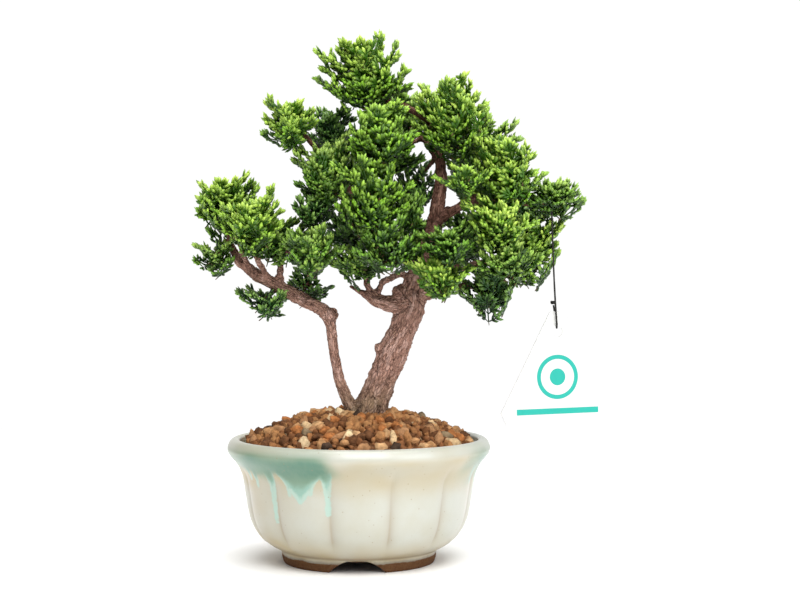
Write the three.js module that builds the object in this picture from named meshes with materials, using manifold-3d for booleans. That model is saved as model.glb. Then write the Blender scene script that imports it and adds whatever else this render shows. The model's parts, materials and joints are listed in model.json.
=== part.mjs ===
import * as THREE from "three";
import { mergeVertices } from "three/addons/utils/BufferGeometryUtils.js";
import Module from "manifold-3d";

const wasm = await Module();
wasm.setup();

// ---------------------------------------------------------------------------
// Driving dimensions, in millimetres. While it is modelled, the pot's axis is
// the Z axis, the pot stands on Z = 0 and its front faces -Y.
// ---------------------------------------------------------------------------

const GAP = 0.3;

const pot = {
  segments: 48,
  lobes: 12,
  lobeDepth: 2.2,
  footRadius: 57,
  recessRadius: 48,
  waistHeight: 9.6,
  recessHeight: 9,
  bellyRadius: 86,
  lipRadius: 98.5,
  height: 93,
  mouthRadius: 89,
  floorTop: 17,
  archHalfWidth: 23,
  archHeight: 10,
  archCount: 3,
  drainRadius: 13,
};

const mesh = { width: 38, thickness: 1, holes: 3, hole: 7.6, pitch: 11 };

const soil = { rimHeight: 86, crownHeight: 109.5, power: 2.4 };

const gravel = { segments: 16, cell: 6.1, valley: 1.4, rise: 3.2, top: 140 };

const spray = {
  smallArea: 1500,
  largeArea: 3900,
  whorlShift: 2,
  ragged: 0.2,
  uneven: 0.36,
  lean: 0.5,
  clearance: 0.5,
  reaches: [1, 0.85, 0.7, 0.5, 0.3, 0.15],
};

const card = {
  hole: new THREE.Vector3(147.8, -7, 172.5),
  thickness: 0.8,
  holeRadius: 4.5,
  topHalf: 5.5,
  topAbove: 15,
  shoulderHalf: 45.5,
  shoulderBelow: 59.5,
  bottomHalf: 41.5,
  bottomBelow: 68.5,
  tilt: 0.8,
  turn: 18,
};

const string = { diameter: 1.4, sides: 8, steps: 32, knotRadius: 1.9 };

// ---------------------------------------------------------------------------
// Colours and finishes
// ---------------------------------------------------------------------------

function finish(colour, roughness) {
  return new THREE.MeshStandardMaterial({ color: colour, roughness, metalness: 0 });
}

const finishes = {
  glaze: finish("#e2dfd2", 0.22),
  plastic: finish("#2b2d2b", 0.6),
  soil: finish("#5d4630", 0.95),
  stones: finish("#a06d45", 0.9),
  bark: finish("#8a6656", 0.92),
  bright: finish("#7fc22e", 0.55),
  middle: finish("#4c8f26", 0.58),
  dark: finish("#2b5a2c", 0.62),
  paper: finish("#f7f7f5", 0.6),
  thread: finish("#22211f", 0.8),
};

// ---------------------------------------------------------------------------
// Solids: a closed geometry becomes a solid that can be joined and cut
// ---------------------------------------------------------------------------

function toSolid(geometry) {
  const bare = geometry.clone();
  bare.deleteAttribute("normal");
  bare.deleteAttribute("uv");
  const merged = mergeVertices(bare, 1e-4);
  const vertProperties = Float32Array.from(merged.attributes.position.array);
  const triVerts = Uint32Array.from(merged.index.array);
  return new wasm.Manifold(new wasm.Mesh({ numProp: 3, vertProperties, triVerts }));
}

function toGeometry(solid) {
  const { numProp, vertProperties, triVerts } = solid.getMesh();
  const geometry = new THREE.BufferGeometry();
  geometry.setAttribute("position", new THREE.BufferAttribute(vertProperties, numProp));
  geometry.setIndex(new THREE.BufferAttribute(triVerts, 1));
  geometry.computeVertexNormals();
  return geometry;
}

function union(solids) {
  return solids.reduce((whole, piece) => whole.add(piece));
}

// The one body that counts: the loose scraps that a cut leaves are dropped.
function largestBody(solid) {
  const bodies = solid.decompose();
  return bodies.reduce((best, body) => (body.volume() > best.volume() ? body : best));
}

function part(name, solid, material) {
  const piece = new THREE.Mesh(toGeometry(largestBody(solid)), material);
  piece.name = name;
  return piece;
}

// A profile of [radius, height] pairs turned about Z. Angle 0 faces -Y.
function turned(profile, segments) {
  const points = profile.map(([radius, height]) => new THREE.Vector2(radius, height));
  return new THREE.LatheGeometry(points, segments).rotateX(Math.PI / 2);
}

// ---------------------------------------------------------------------------
// Pot: lip, lobed wall, floor and foot ring in one fired piece
// ---------------------------------------------------------------------------

const wallInside = [
  [pot.mouthRadius, pot.height - 0.8],
  [pot.mouthRadius - 1.6, pot.height - 7],
  [pot.bellyRadius - 5.5, 46],
  [pot.bellyRadius - 17, 24.5],
  [pot.footRadius - 12, pot.floorTop],
];

const wallOutside = [
  [pot.footRadius, 0],
  [pot.footRadius + 1, pot.waistHeight - 1.5],
  [pot.footRadius + 2, pot.waistHeight],
  [pot.bellyRadius - 19.5, 13.8],
  [pot.bellyRadius - 13, 18.5],
  [pot.bellyRadius - 7, 27],
  [pot.bellyRadius - 3.4, 37],
  [pot.bellyRadius - 0.8, 52],
  [pot.bellyRadius + 1.4, 65],
  [pot.bellyRadius + 5, 73.5],
  [pot.lipRadius - 2.4, 80],
  [pot.lipRadius, 85.5],
  [pot.lipRadius - 1.8, 89.6],
  [pot.lipRadius - 5.5, pot.height],
];

// How much of the lobes shows at a height: none at the lip and the foot.
function lobeShare(height) {
  const rise = THREE.MathUtils.smoothstep(height, pot.waistHeight, 26);
  const fall = 1 - THREE.MathUtils.smoothstep(height, 66, 82);
  return rise * fall;
}

// The lobes are pressed into the outside only. A turned profile's points come
// one row after the other, so a point's place in the row tells where it is.
function pressLobes(geometry, rowLength) {
  const position = geometry.attributes.position;
  for (let i = 0; i < position.count; i += 1) {
    const row = i % rowLength;
    if (row === 0 || row > wallOutside.length) continue;
    const point = new THREE.Vector3().fromBufferAttribute(position, i);
    const radius = Math.hypot(point.x, point.y);
    const turn = (Math.atan2(point.x, -point.y) * pot.lobes) / (2 * Math.PI);
    const fromMiddle = Math.abs(turn - Math.round(turn)) * 2;
    const depth = pot.lobeDepth * fromMiddle ** 2.5 * lobeShare(point.z);
    point.multiply(new THREE.Vector3(1 - depth / radius, 1 - depth / radius, 1));
    position.setXYZ(i, point.x, point.y, point.z);
  }
  return geometry;
}

// The notch in the foot ring: a low round arch, cut from the outside in.
function footArch(turn) {
  const half = pot.archHalfWidth;
  const outline = new THREE.Shape();
  outline.moveTo(-half, -1);
  outline.lineTo(half, -1);
  outline.quadraticCurveTo(half * 0.5, pot.archHeight, 0, pot.archHeight);
  outline.quadraticCurveTo(-half * 0.5, pot.archHeight, -half, -1);
  const depth = pot.footRadius - 20;
  const cut = new THREE.ExtrudeGeometry(outline, { depth, bevelEnabled: false, curveSegments: 5 });
  cut.rotateX(Math.PI / 2).translate(0, -25, 0).rotateZ(turn);
  return toSolid(cut);
}

function potSolid() {
  const profile = [[0, 0], ...wallOutside, ...wallInside, [0, pot.floorTop]];
  const outer = toSolid(pressLobes(turned(profile, pot.segments), profile.length));
  const recessDepth = pot.recessHeight + 1;
  const recess = new THREE.CylinderGeometry(pot.recessRadius, pot.recessRadius, recessDepth, 24);
  recess.rotateX(Math.PI / 2).translate(0, 0, recessDepth / 2 - 1);
  const drain = new THREE.CylinderGeometry(pot.drainRadius, pot.drainRadius, 60, 16).rotateX(Math.PI / 2);
  const arches = Array.from({ length: pot.archCount }, (_, i) => footArch((i * 2 * Math.PI) / pot.archCount));
  return [toSolid(recess), toSolid(drain), ...arches].reduce((body, cut) => body.subtract(cut), outer);
}

// ---------------------------------------------------------------------------
// Drain mesh: a square of plastic netting over the hole in the floor
// ---------------------------------------------------------------------------

function drainMesh() {
  const height = pot.floorTop + GAP + mesh.thickness / 2;
  const sheet = new THREE.BoxGeometry(mesh.width, mesh.width, mesh.thickness).translate(0, 0, height);
  const first = (-(mesh.holes - 1) * mesh.pitch) / 2;
  const holes = Array.from({ length: mesh.holes ** 2 }, (_, i) => {
    const x = first + (i % mesh.holes) * mesh.pitch;
    const y = first + Math.floor(i / mesh.holes) * mesh.pitch;
    return toSolid(new THREE.BoxGeometry(mesh.hole, mesh.hole, 4).translate(x, y, height));
  });
  return holes.reduce((netting, hole) => netting.subtract(hole), toSolid(sheet));
}

// ---------------------------------------------------------------------------
// Wood: two trunks from one root flare, their limbs and a twig to each pad
// ---------------------------------------------------------------------------

// Each limb is a row of [x, y, z, radius].
const limbs = {
  rightTrunk: [
    [5, 0, 92.5, 16], [5.5, 0, 104.5, 16.5], [8, 0, 112.5, 13.6], [11.5, 0, 121.5, 11.6], [19.5, 0, 142.5, 10.5],
    [25.5, 0, 157.5, 11.2], [32, 0, 172.5, 9.8], [38, 0, 189.5, 10.8], [42.5, 1.5, 209.5, 9], [52, 3, 232.5, 7],
    [58, 4, 259.5, 5.8], [62, 4, 285.5, 4.8], [60, 3, 312.5, 3.8], [46, 2, 334.5, 3.1], [8, 0, 354.5, 2.2],
  ],
  leftTrunk: [
    [-2, 0, 92.5, 9], [-4, 0, 106.5, 7], [-7, 0, 117.5, 4.9], [-15, -1, 135.5, 4.2], [-19.3, -1, 159.5, 4],
    [-21.6, -1, 178.5, 4.4], [-28, -1, 189, 5.3], [-42, 0, 195.5, 5.2], [-61, 0, 206, 5],
    [-77, 0, 214.5, 4.6], [-90, 0, 224.5, 3.8], [-97, 0, 238.5, 2.9], [-97, 0, 262.5, 2.2],
  ],
  stub: [[37, 0, 192.5, 6], [24, -1, 192.5, 7], [13, -2, 195, 5.6], [2, -3, 201.5, 2.6], [-7, -3, 206.5, 1.5]],
  stubRise: [[12, -2, 195.5, 3.4], [6, -3, 207.5, 2.8], [5, -9, 222.5, 2.2]],
  stubLoop: [[12, -2, 197.5, 3], [18, -1, 209.5, 2.8], [34, 0, 216.5, 3.2]],
  leftRise: [[-60, 0, 207.5, 3.6], [-59, 2, 218.5, 2.9], [-58, 3, 232.5, 2.3]],
  leftFork: [[-66, -1, 209.5, 3.2], [-74, -9, 223, 2.6], [-79, -18, 238, 2]],
  leftTwig: [[-80, 0, 216.5, 3], [-86, -7, 229, 2.4], [-89, -15, 242, 1.9]],
  lowRight: [[45, 1, 199.5, 5.4], [56, 1, 200.5, 4.2], [68, 2, 205.5, 3.6], [84, 5, 206.5, 3], [97, 8, 203.5, 2.4]],
  midRight: [[49, 2, 224.5, 5], [64, 0, 219.5, 3.8], [80, -2, 220.5, 3.4], [96, -4, 224.5, 3], [112, -5, 231.5, 2.4]],
  highRight: [[57, 4, 254.5, 4.4], [74, 2, 264.5, 3.6], [90, 0, 278.5, 3], [102, -3, 293.5, 2.4]],
  farRight: [[88, 0, 275.5, 2.8], [108, 0, 271.5, 2.4], [128, 0, 267, 2.1], [144, -1, 268, 1.8]],
  innerLeft: [
    [45, 2, 216.5, 5], [31, 0, 232.5, 4.4], [16, -2, 246.5, 4], [2, -4, 264.5, 3.6], [-12, 0, 284.5, 3.2],
    [-26, 0, 302.5, 2.8], [-42, 0, 320.5, 2.2],
  ],
  lowBack: [[53, 3, 236.5, 4.4], [49, 20, 234.5, 3.6], [46, 38, 236.5, 2.8]],
  rightBack: [[58, 4, 260.5, 4.2], [72, 22, 264.5, 3.4], [88, 38, 270.5, 2.6]],
  leftBack: [[-11, 0, 283.5, 3], [-13, 18, 292.5, 2.6], [-14, 36, 300.5, 2.2]],
  topBack: [[62, 4, 296.5, 3.8], [52, 18, 314.5, 3], [38, 32, 328.5, 2.4]],
  midBack: [[3, -4, 262.5, 3.2], [-1, 16, 258.5, 2.8], [-6, 32, 257.5, 2.2]],
};

// Burls and knots: [x, y, z, radius].
const burls = [
  [16.5, -1, 159.5, 5.6], [-20.5, -1.5, 185, 6.2], [30, -2, 145.5, 4], [31, -1, 201.5, 7],
];

function sidesFor(radius) {
  if (radius > 9) return 9;
  if (radius > 6) return 7;
  return radius > 3.5 ? 5 : 4;
}

// The two directions across a curve at each of its steps, carried along it
// without twisting.
function crossAxes(curve, steps) {
  const first = curve.getTangent(0);
  let side = Math.abs(first.y) < 0.8 ? new THREE.Vector3(0, 1, 0) : new THREE.Vector3(1, 0, 0);
  return Array.from({ length: steps + 1 }, (_, step) => {
    const along = curve.getTangent(step / steps);
    side = side.clone().addScaledVector(along, -side.dot(along)).normalize();
    return { along, side, other: new THREE.Vector3().crossVectors(side, along) };
  });
}

// Bark swells and narrows a little from one place to the next.
function barkSwell(step, turn) {
  return 1 + 0.09 * Math.sin(step * 12.9 + turn * 78.2);
}

// A round bar that follows rows of [x, y, z, radius], thicker all round by grow.
function bar(rows, grow = 0) {
  const curve = new THREE.CatmullRomCurve3(rows.map(([x, y, z]) => new THREE.Vector3(x, y, z)));
  const steps = rows.length - 1;
  const sides = sidesFor(rows[0][3]);
  const geometry = new THREE.CylinderGeometry(1, 1, steps, sides, steps);
  const axes = crossAxes(curve, steps);
  const position = geometry.attributes.position;
  for (let i = 0; i < position.count; i += 1) {
    const [x, z] = [position.getX(i), position.getZ(i)];
    const step = Math.round(position.getY(i) + steps / 2);
    const turn = Math.round((Math.atan2(z, x) / (2 * Math.PI)) * sides + sides) % sides;
    const radius = rows[step][3] * barkSwell(step, turn) + grow;
    const point = curve.getPoint(step / steps);
    point.addScaledVector(axes[step].along, endPush(step, steps) * grow);
    point.addScaledVector(axes[step].side, x * radius).addScaledVector(axes[step].other, z * radius);
    position.setXYZ(i, point.x, point.y, point.z);
  }
  return toSolid(geometry);
}

function endPush(step, steps) {
  if (step === 0) return -1;
  return step === steps ? 1 : 0;
}

function burl([x, y, z, radius], grow = 0) {
  const knob = new THREE.IcosahedronGeometry(radius + grow * 1.3, 0);
  return toSolid(knob.rotateX(x).rotateZ(z).translate(x, y, z));
}

// ---------------------------------------------------------------------------
// Foliage pads: where each sits, how large it is and how light its green is
// ---------------------------------------------------------------------------

const pads = [
  { name: "left_crown", at: [-99.5, -2, 273.7], size: [60, 52, 37], tone: "bright" },
  { name: "left_front", at: [-75.2, -40, 254.6], size: [67, 44, 46], tone: "bright" },
  { name: "left_tip", at: [-105.6, -8, 229.4], size: [34, 40, 28], tone: "middle" },
  { name: "left_under", at: [-68.6, 4, 194.2], size: [63, 44, 32], tone: "dark" },
  { name: "left_inner", at: [-35.6, -34, 238], size: [64, 42, 41], tone: "middle" },
  { name: "left_low_back", at: [-39.5, 22, 209.1], size: [37, 38, 32], tone: "dark" },
  { name: "left_middle", at: [-59.5, 4, 243.8], size: [63, 40, 41], tone: "middle" },
  { name: "left_back", at: [-91.7, 42, 263.2], size: [71, 42, 45], tone: "middle" },
  { name: "left_bridge", at: [-33.5, -4, 264.6], size: [46, 36, 33], tone: "dark" },
  { name: "apex", at: [3.1, -4, 367], size: [91, 62, 51], tone: "bright" },
  { name: "upper_left", at: [-50.5, -8, 328.5], size: [57, 48, 39], tone: "bright" },
  { name: "upper_left_back", at: [-23, 30, 328.8], size: [48, 40, 40], tone: "dark" },
  { name: "upper_front", at: [17, -40, 320.6], size: [65, 44, 49], tone: "bright" },
  { name: "upper_right", at: [69.3, -14, 333.9], size: [77, 54, 62], tone: "bright" },
  { name: "upper_middle", at: [24.7, 6, 311.7], size: [56, 36, 50], tone: "middle" },
  { name: "middle_left", at: [-25.2, -6, 295.9], size: [66, 46, 58], tone: "middle" },
  { name: "front_high", at: [10.6, -48, 277.4], size: [72, 44, 56], tone: "bright" },
  { name: "crown_heart", at: [41.4, 22, 286.9], size: [55, 36, 50], tone: "dark" },
  { name: "front_middle", at: [35.9, -30, 265.1], size: [35, 36, 40], tone: "middle" },
  { name: "right_high", at: [106.5, -24, 291.1], size: [72, 54, 63], tone: "bright" },
  { name: "right_upper_back", at: [97, 34, 312.2], size: [72, 42, 65], tone: "middle" },
  { name: "right_outer", at: [145.3, 6, 275.5], size: [56, 48, 35], tone: "middle" },
  { name: "front_spray", at: [76.8, -50, 281.6], size: [45, 32, 22], tone: "bright" },
  { name: "front_left", at: [19.1, -40, 241.5], size: [76, 42, 44], tone: "middle" },
  { name: "centre_dark", at: [-0.9, 6, 246.9], size: [50, 36, 38], tone: "dark" },
  { name: "centre_low", at: [2.6, -16, 222.7], size: [58, 36, 24], tone: "middle" },
  { name: "front_low", at: [58.3, -40, 218.3], size: [61, 42, 29], tone: "bright" },
  { name: "front_centre", at: [64, -44, 238.5], size: [54, 38, 32], tone: "middle" },
  { name: "right_inner", at: [84.1, 20, 247.2], size: [55, 38, 47], tone: "dark" },
  { name: "right_front", at: [102.9, -48, 258.7], size: [66, 42, 42], tone: "bright" },
  { name: "right_middle", at: [126.6, 18, 238], size: [78, 44, 56], tone: "bright" },
  { name: "right_low", at: [101.7, -6, 207.8], size: [75, 52, 39], tone: "dark" },
  { name: "right_edge", at: [108.6, -48, 228.4], size: [56, 40, 35], tone: "middle" },
  { name: "back_left", at: [-17.7, 52, 304.1], size: [67, 46, 59], tone: "middle" },
  { name: "back_top", at: [30.8, 44, 342.4], size: [68, 48, 56], tone: "middle" },
  { name: "back_right", at: [89.5, 74, 299.2], size: [64, 42, 60], tone: "middle" },
  { name: "back_outer", at: [124.5, 52, 257.3], size: [75, 48, 59], tone: "dark" },
  { name: "back_low", at: [49.6, 56, 241.7], size: [78, 50, 55], tone: "middle" },
  { name: "back_inner", at: [-6.6, 46, 258.7], size: [65, 46, 51], tone: "dark" },
];

const limbCurves = Object.values(limbs).map(
  (rows) => new THREE.CatmullRomCurve3(rows.map(([x, y, z]) => new THREE.Vector3(x, y, z))),
);

// The nearest place on any limb to a pad's middle.
function nearestOnLimbs(target) {
  const places = limbCurves.flatMap((curve) => curve.getPoints(40));
  return places.reduce((best, place) => (place.distanceTo(target) < best.distanceTo(target) ? place : best));
}

// A twig from the nearest limb into a pad's core.
function twigRows({ at, size }) {
  const centre = new THREE.Vector3(...at);
  const start = nearestOnLimbs(centre);
  const reach = start.distanceTo(centre);
  const inside = Math.min(...size) * 0.12;
  const end = centre.clone().lerp(start, inside / Math.max(reach, inside));
  const middle = start.clone().lerp(end, 0.5);
  middle.z -= reach * 0.08;
  return [[...start, 2.3], [...middle, 1.9], [...end, 1.5]];
}

function needsTwig({ at, size }) {
  const centre = new THREE.Vector3(...at);
  return nearestOnLimbs(centre).distanceTo(centre) > Math.min(...size) * 0.2;
}

function wood(grow = 0) {
  const bars = Object.values(limbs).map((rows) => bar(rows, grow));
  const twigs = pads.filter(needsTwig).map((one) => bar(twigRows(one), grow));
  return union([...bars, ...twigs, ...burls.map((knob) => burl(knob, grow))]);
}

// ---------------------------------------------------------------------------
// Soil, and the gravel that covers it
// ---------------------------------------------------------------------------

const fillRadius = pot.mouthRadius - 2.3;

function soilHeight(radius) {
  const rise = 1 - (radius / fillRadius) ** soil.power;
  return soil.rimHeight + (soil.crownHeight - soil.rimHeight) * rise;
}

// The dome's outline from its edge in to the axis.
function domeProfile(lift) {
  return [1, 0.86, 0.64, 0.34, 0].map((share) => {
    const radius = share * fillRadius;
    return [radius, soilHeight(radius) + lift];
  });
}

function soilSolid(woodRoom) {
  const meshTop = pot.floorTop + 2 * GAP + mesh.thickness;
  const meshRoom = mesh.width * Math.SQRT1_2 + 1;
  const walls = wallInside.slice(1).reverse().map(([radius, height]) => [radius - GAP * 1.3, height + GAP]);
  const profile = [[0, meshTop], [meshRoom, meshTop], [meshRoom, pot.floorTop + GAP], ...walls, ...domeProfile(0)];
  return toSolid(turned(profile, gravel.segments)).subtract(woodRoom);
}

// An even-looking number from 0 to 1 for each place on a grid.
function grain(i, j, kind) {
  const value = Math.sin(i * 127.1 + j * 311.7 + kind * 74.7) * 43758.5;
  return value - Math.floor(value);
}

// The stones are a relief on a grid of three-cornered cells. Every third corner
// is the top of a stone, and the corners round it lie in the valleys.
function stoneRelief() {
  const cells = 2 * Math.ceil(fillRadius / gravel.cell) + 2;
  const side = cells * gravel.cell;
  const block = new THREE.BoxGeometry(side, side, gravel.top, cells, cells, 1);
  const position = block.attributes.position;
  for (let k = 0; k < position.count; k += 1) {
    if (position.getZ(k) < 0) continue;
    const i = Math.round(position.getX(k) / gravel.cell + cells);
    const j = Math.round(position.getY(k) / gravel.cell + cells);
    const x = position.getX(k) + gravel.cell * 0.5 * (grain(i, j, 1) - 0.5);
    const y = position.getY(k) + gravel.cell * 0.5 * (grain(i, j, 2) - 0.5);
    const rise = (i + j) % 3 === 0 ? gravel.rise * (0.7 + 0.6 * grain(i, j, 3)) : 0.9 * grain(i, j, 4);
    const ground = soilHeight(Math.min(Math.hypot(x, y), fillRadius));
    position.setXYZ(k, x, y, ground + GAP + gravel.valley + rise);
  }
  return toSolid(block);
}

function gravelSolid(woodRoom) {
  const room = [...domeProfile(GAP).reverse(), [fillRadius, gravel.top], [0, gravel.top]];
  return stoneRelief().intersect(toSolid(turned(room, gravel.segments * 2))).subtract(woodRoom);
}

// ---------------------------------------------------------------------------
// Foliage: whorls of fan-shaped sprays that stand out of a small core
// ---------------------------------------------------------------------------

// A pad's outline in shares of its half width and half height, from the bottom
// up: in at the core, out at the tips of a whorl, and in again.
const denseOutline = [
  [0, -0.8],
  [0.84, -0.66],
  [0.6, -0.36],
  [1, 0.02],
  [0.66, 0.3],
  [0.76, 0.88],
  [0, 0.66],
];

// The shaded pads have one whorl less.
const sparseOutline = [
  [0, -0.8],
  [0.96, -0.4],
  [0.62, 0],
  [0.86, 0.7],
  [0, 0.6],
];

function outlineOf({ tone }) {
  return tone === "bright" ? denseOutline : sparseOutline;
}

// How far out each place of a fan reaches: the cleft between two fans, then
// two fingers with a notch between them.
const fanReach = [0.5, 0.94, 0.72, 1];

function fansRound({ size }) {
  const area = size[0] * size[2];
  if (area < spray.smallArea) return 4;
  return area > spray.largeArea ? 6 : 5;
}

// A pad grown from its seed. Each fan reaches out by its share of the reaches.
function padSolid(one, reaches, grow = 0) {
  const columns = fansRound(one) * fanReach.length;
  const outline = outlineOf(one);
  const geometry = turned(outline, columns);
  const position = geometry.attributes.position;
  for (let i = 0; i < position.count; i += 1) {
    const row = i % outline.length;
    if (row % 2 === 0) continue;
    const column = Math.floor(i / outline.length) % columns;
    const whorl = (row - 1) / 2;
    const place = (column + whorl * spray.whorlShift) % columns;
    const fan = Math.floor(place / fanReach.length);
    const ragged = 1 - spray.ragged * grain(column, row, one.at[0]);
    const reach = fanReach[place % fanReach.length] * reaches[whorl][fan] * ragged;
    const [rootRadius, rootHeight] = [0.4, (outline[row - 1][1] + outline[row + 1][1]) / 2];
    const radius = THREE.MathUtils.lerp(rootRadius, outline[row][0], reach) / outline[row][0];
    const tipHeight = outline[row][1] + spray.uneven * (grain(fan, row, one.at[2]) - 0.5);
    const height = THREE.MathUtils.lerp(rootHeight, tipHeight, reach);
    position.setXYZ(i, position.getX(i) * radius, position.getY(i) * radius, height);
  }
  const half = one.size.map((side) => side / 2 + grow);
  const lean = spray.lean * (grain(one.at[0], one.at[2], 5) - 0.5);
  geometry.rotateZ(one.at[0]).scale(...half).rotateY(lean);
  return toSolid(geometry.translate(...one.at));
}

function everyFan(one, reach) {
  return outlineOf(one).filter((_, row) => row % 2).map(() => Array(fansRound(one)).fill(reach));
}

function touches(solid, others) {
  return others.some((other) => !solid.intersect(other).isEmpty());
}

// How far each fan can open, one after the other, before it would cross
// something else.
function openReaches(one, obstacles) {
  const isClear = (reaches) => !touches(padSolid(one, reaches, spray.clearance), obstacles);
  const full = everyFan(one, 1);
  if (isClear(full)) return full;
  const open = everyFan(one, 0);
  for (const fans of open) {
    for (let fan = 0; fan < fans.length; fan += 1) {
      fans[fan] = spray.reaches.find((reach) => {
        fans[fan] = reach;
        return isClear(open);
      }) ?? 0;
    }
  }
  return open;
}

function nearby(solid, others) {
  const box = solid.boundingBox();
  return others.filter((other) => {
    const { min, max } = other.boundingBox();
    return min.every((low, k) => low < box.max[k] && max[k] > box.min[k]);
  });
}

// The pads open one after the other, each clear of those before it, of the
// cores of those still to come, and of what hangs in the tree.
function foliage(woodRoom, hanging) {
  const closed = pads.map((one) => padSolid(one, everyFan(one, 0), spray.clearance));
  const grown = [];
  return pads.map((one, i) => {
    const limit = padSolid(one, everyFan(one, 1), spray.clearance);
    const obstacles = nearby(limit, [...grown, ...closed.slice(i + 1), ...hanging]);
    const solid = largestBody(padSolid(one, openReaches(one, obstacles)).subtract(woodRoom));
    grown.push(solid);
    return part(`foliage_${one.name}`, solid, finishes[one.tone]);
  });
}

// ---------------------------------------------------------------------------
// Tag: a card with a punched hole, its string and the knot over it
// ---------------------------------------------------------------------------

function cardSolid(grow = 0) {
  const outline = new THREE.Shape();
  outline.moveTo(-card.topHalf - grow, card.topAbove + grow);
  outline.lineTo(-card.shoulderHalf - grow, -card.shoulderBelow);
  outline.lineTo(-card.bottomHalf - grow, -card.bottomBelow - grow);
  outline.lineTo(card.bottomHalf + grow, -card.bottomBelow - grow);
  outline.lineTo(card.shoulderHalf + grow, -card.shoulderBelow);
  outline.lineTo(card.topHalf + grow, card.topAbove + grow);
  if (grow === 0) {
    const hole = new THREE.Path();
    hole.absarc(0, 0, card.holeRadius, 0, 2 * Math.PI, true);
    outline.holes.push(hole);
  }
  const depth = card.thickness + 2 * grow;
  const sheet = new THREE.ExtrudeGeometry(outline, { depth, bevelEnabled: false, curveSegments: 8 });
  sheet.translate(0, 0, -depth / 2).rotateX(Math.PI / 2);
  sheet.rotateY(THREE.MathUtils.degToRad(-card.tilt)).rotateZ(THREE.MathUtils.degToRad(card.turn));
  return toSolid(sheet.translate(card.hole.x, card.hole.y, card.hole.z));
}

// The string's way: down from the branch, through the hole and back up to the knot.
const stringRoute = [
  new THREE.Vector3(143.6, -4.6, 266.5),
  new THREE.Vector3(144, -6.5, 256.5),
  new THREE.Vector3(144.6, -8.2, 234.5),
  new THREE.Vector3(145.6, -8.9, 209.5),
  new THREE.Vector3(146.6, -9.2, 191.5),
  new THREE.Vector3(147.4, -9.2, 180.5),
  new THREE.Vector3(147.6, -8.9, 176.9),
  new THREE.Vector3(147.7, -7, 175.1),
  new THREE.Vector3(147.6, -5.1, 176.9),
  new THREE.Vector3(147.2, -4.9, 180.5),
  new THREE.Vector3(145.4, -5.3, 192),
];

function stringSolid(grow = 0) {
  const section = new THREE.Shape();
  const radius = string.diameter / 2 + grow;
  for (let i = 0; i < string.sides; i += 1) {
    const angle = (i * 2 * Math.PI) / string.sides;
    const [x, y] = [radius * Math.cos(angle), radius * Math.sin(angle)];
    if (i === 0) section.moveTo(x, y);
    else section.lineTo(x, y);
  }
  const extrudePath = new THREE.CatmullRomCurve3(stringRoute);
  return toSolid(new THREE.ExtrudeGeometry(section, { steps: string.steps, extrudePath }));
}

function knotSolid() {
  const end = stringRoute[stringRoute.length - 1];
  const knot = new THREE.IcosahedronGeometry(string.knotRadius, 0);
  return toSolid(knot.translate(end.x - 0.4, end.y, end.z + string.knotRadius * 0.87 + GAP));
}

// ---------------------------------------------------------------------------
// The whole, with the middle of its footprint at the origin
// ---------------------------------------------------------------------------

function assemble() {
  const woodRoom = wood(GAP + 0.05);
  const hanging = [stringSolid(0.5), cardSolid(0.8)];
  const own = [
    part("pot", potSolid(), finishes.glaze),
    part("drain_mesh", drainMesh(), finishes.plastic),
    part("soil", soilSolid(woodRoom), finishes.soil),
    part("gravel", gravelSolid(woodRoom), finishes.stones),
    part("trunk_and_branches", wood(), finishes.bark),
    ...foliage(woodRoom, hanging),
  ];
  const tag = [
    part("tag_card", cardSolid(), finishes.paper),
    part("tag_string", stringSolid(), finishes.thread),
    part("tag_knot", knotSolid(), finishes.thread),
  ];
  const bonsai = new THREE.Group();
  bonsai.add(...own, ...tag);
  const box = own.reduce((all, piece) => all.expandByObject(piece), new THREE.Box3());
  const middle = box.getCenter(new THREE.Vector3());
  bonsai.position.set(-middle.x, -middle.y, -box.min.z);
  return bonsai;
}

export default assemble();
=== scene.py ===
"""Looks of a hinoki cypress bonsai: two trunks, fans of scale leaves, gravel, a glazed pot and a tag."""

import json
import logging
import math
import random
from collections.abc import Callable, Sequence
from dataclasses import dataclass, field
from enum import Enum
from functools import partial

import bmesh
import bpy
import numpy as np
from bpy.types import Collection, Material, Mesh, Node, NodeSocket, NodeTree, Object
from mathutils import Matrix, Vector, kdtree, noise
from mathutils.bvhtree import BVHTree


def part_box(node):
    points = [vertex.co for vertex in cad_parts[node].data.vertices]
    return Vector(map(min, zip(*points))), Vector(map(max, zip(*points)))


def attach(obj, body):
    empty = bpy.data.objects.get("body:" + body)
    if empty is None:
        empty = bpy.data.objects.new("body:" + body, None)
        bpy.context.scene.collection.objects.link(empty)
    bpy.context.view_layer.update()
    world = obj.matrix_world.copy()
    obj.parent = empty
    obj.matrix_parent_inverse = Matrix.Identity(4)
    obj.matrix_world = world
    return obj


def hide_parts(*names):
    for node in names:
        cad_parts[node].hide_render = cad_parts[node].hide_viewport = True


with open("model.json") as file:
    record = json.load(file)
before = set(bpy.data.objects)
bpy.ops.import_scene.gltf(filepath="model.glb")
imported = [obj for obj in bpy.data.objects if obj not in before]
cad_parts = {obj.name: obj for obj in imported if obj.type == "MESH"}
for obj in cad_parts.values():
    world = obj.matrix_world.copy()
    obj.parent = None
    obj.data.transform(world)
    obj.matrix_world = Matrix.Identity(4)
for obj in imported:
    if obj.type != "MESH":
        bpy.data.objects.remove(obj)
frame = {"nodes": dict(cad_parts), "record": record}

logging.basicConfig(level=logging.INFO, format="%(message)s")
LOG = logging.getLogger("bonsai")

Points = np.ndarray
Faces = list[tuple[int, ...]]
Span = tuple[float, float]
Place = tuple[float, float, float]
Feeds = dict[str | int, object]
Adder = Callable[..., Node]

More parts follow.
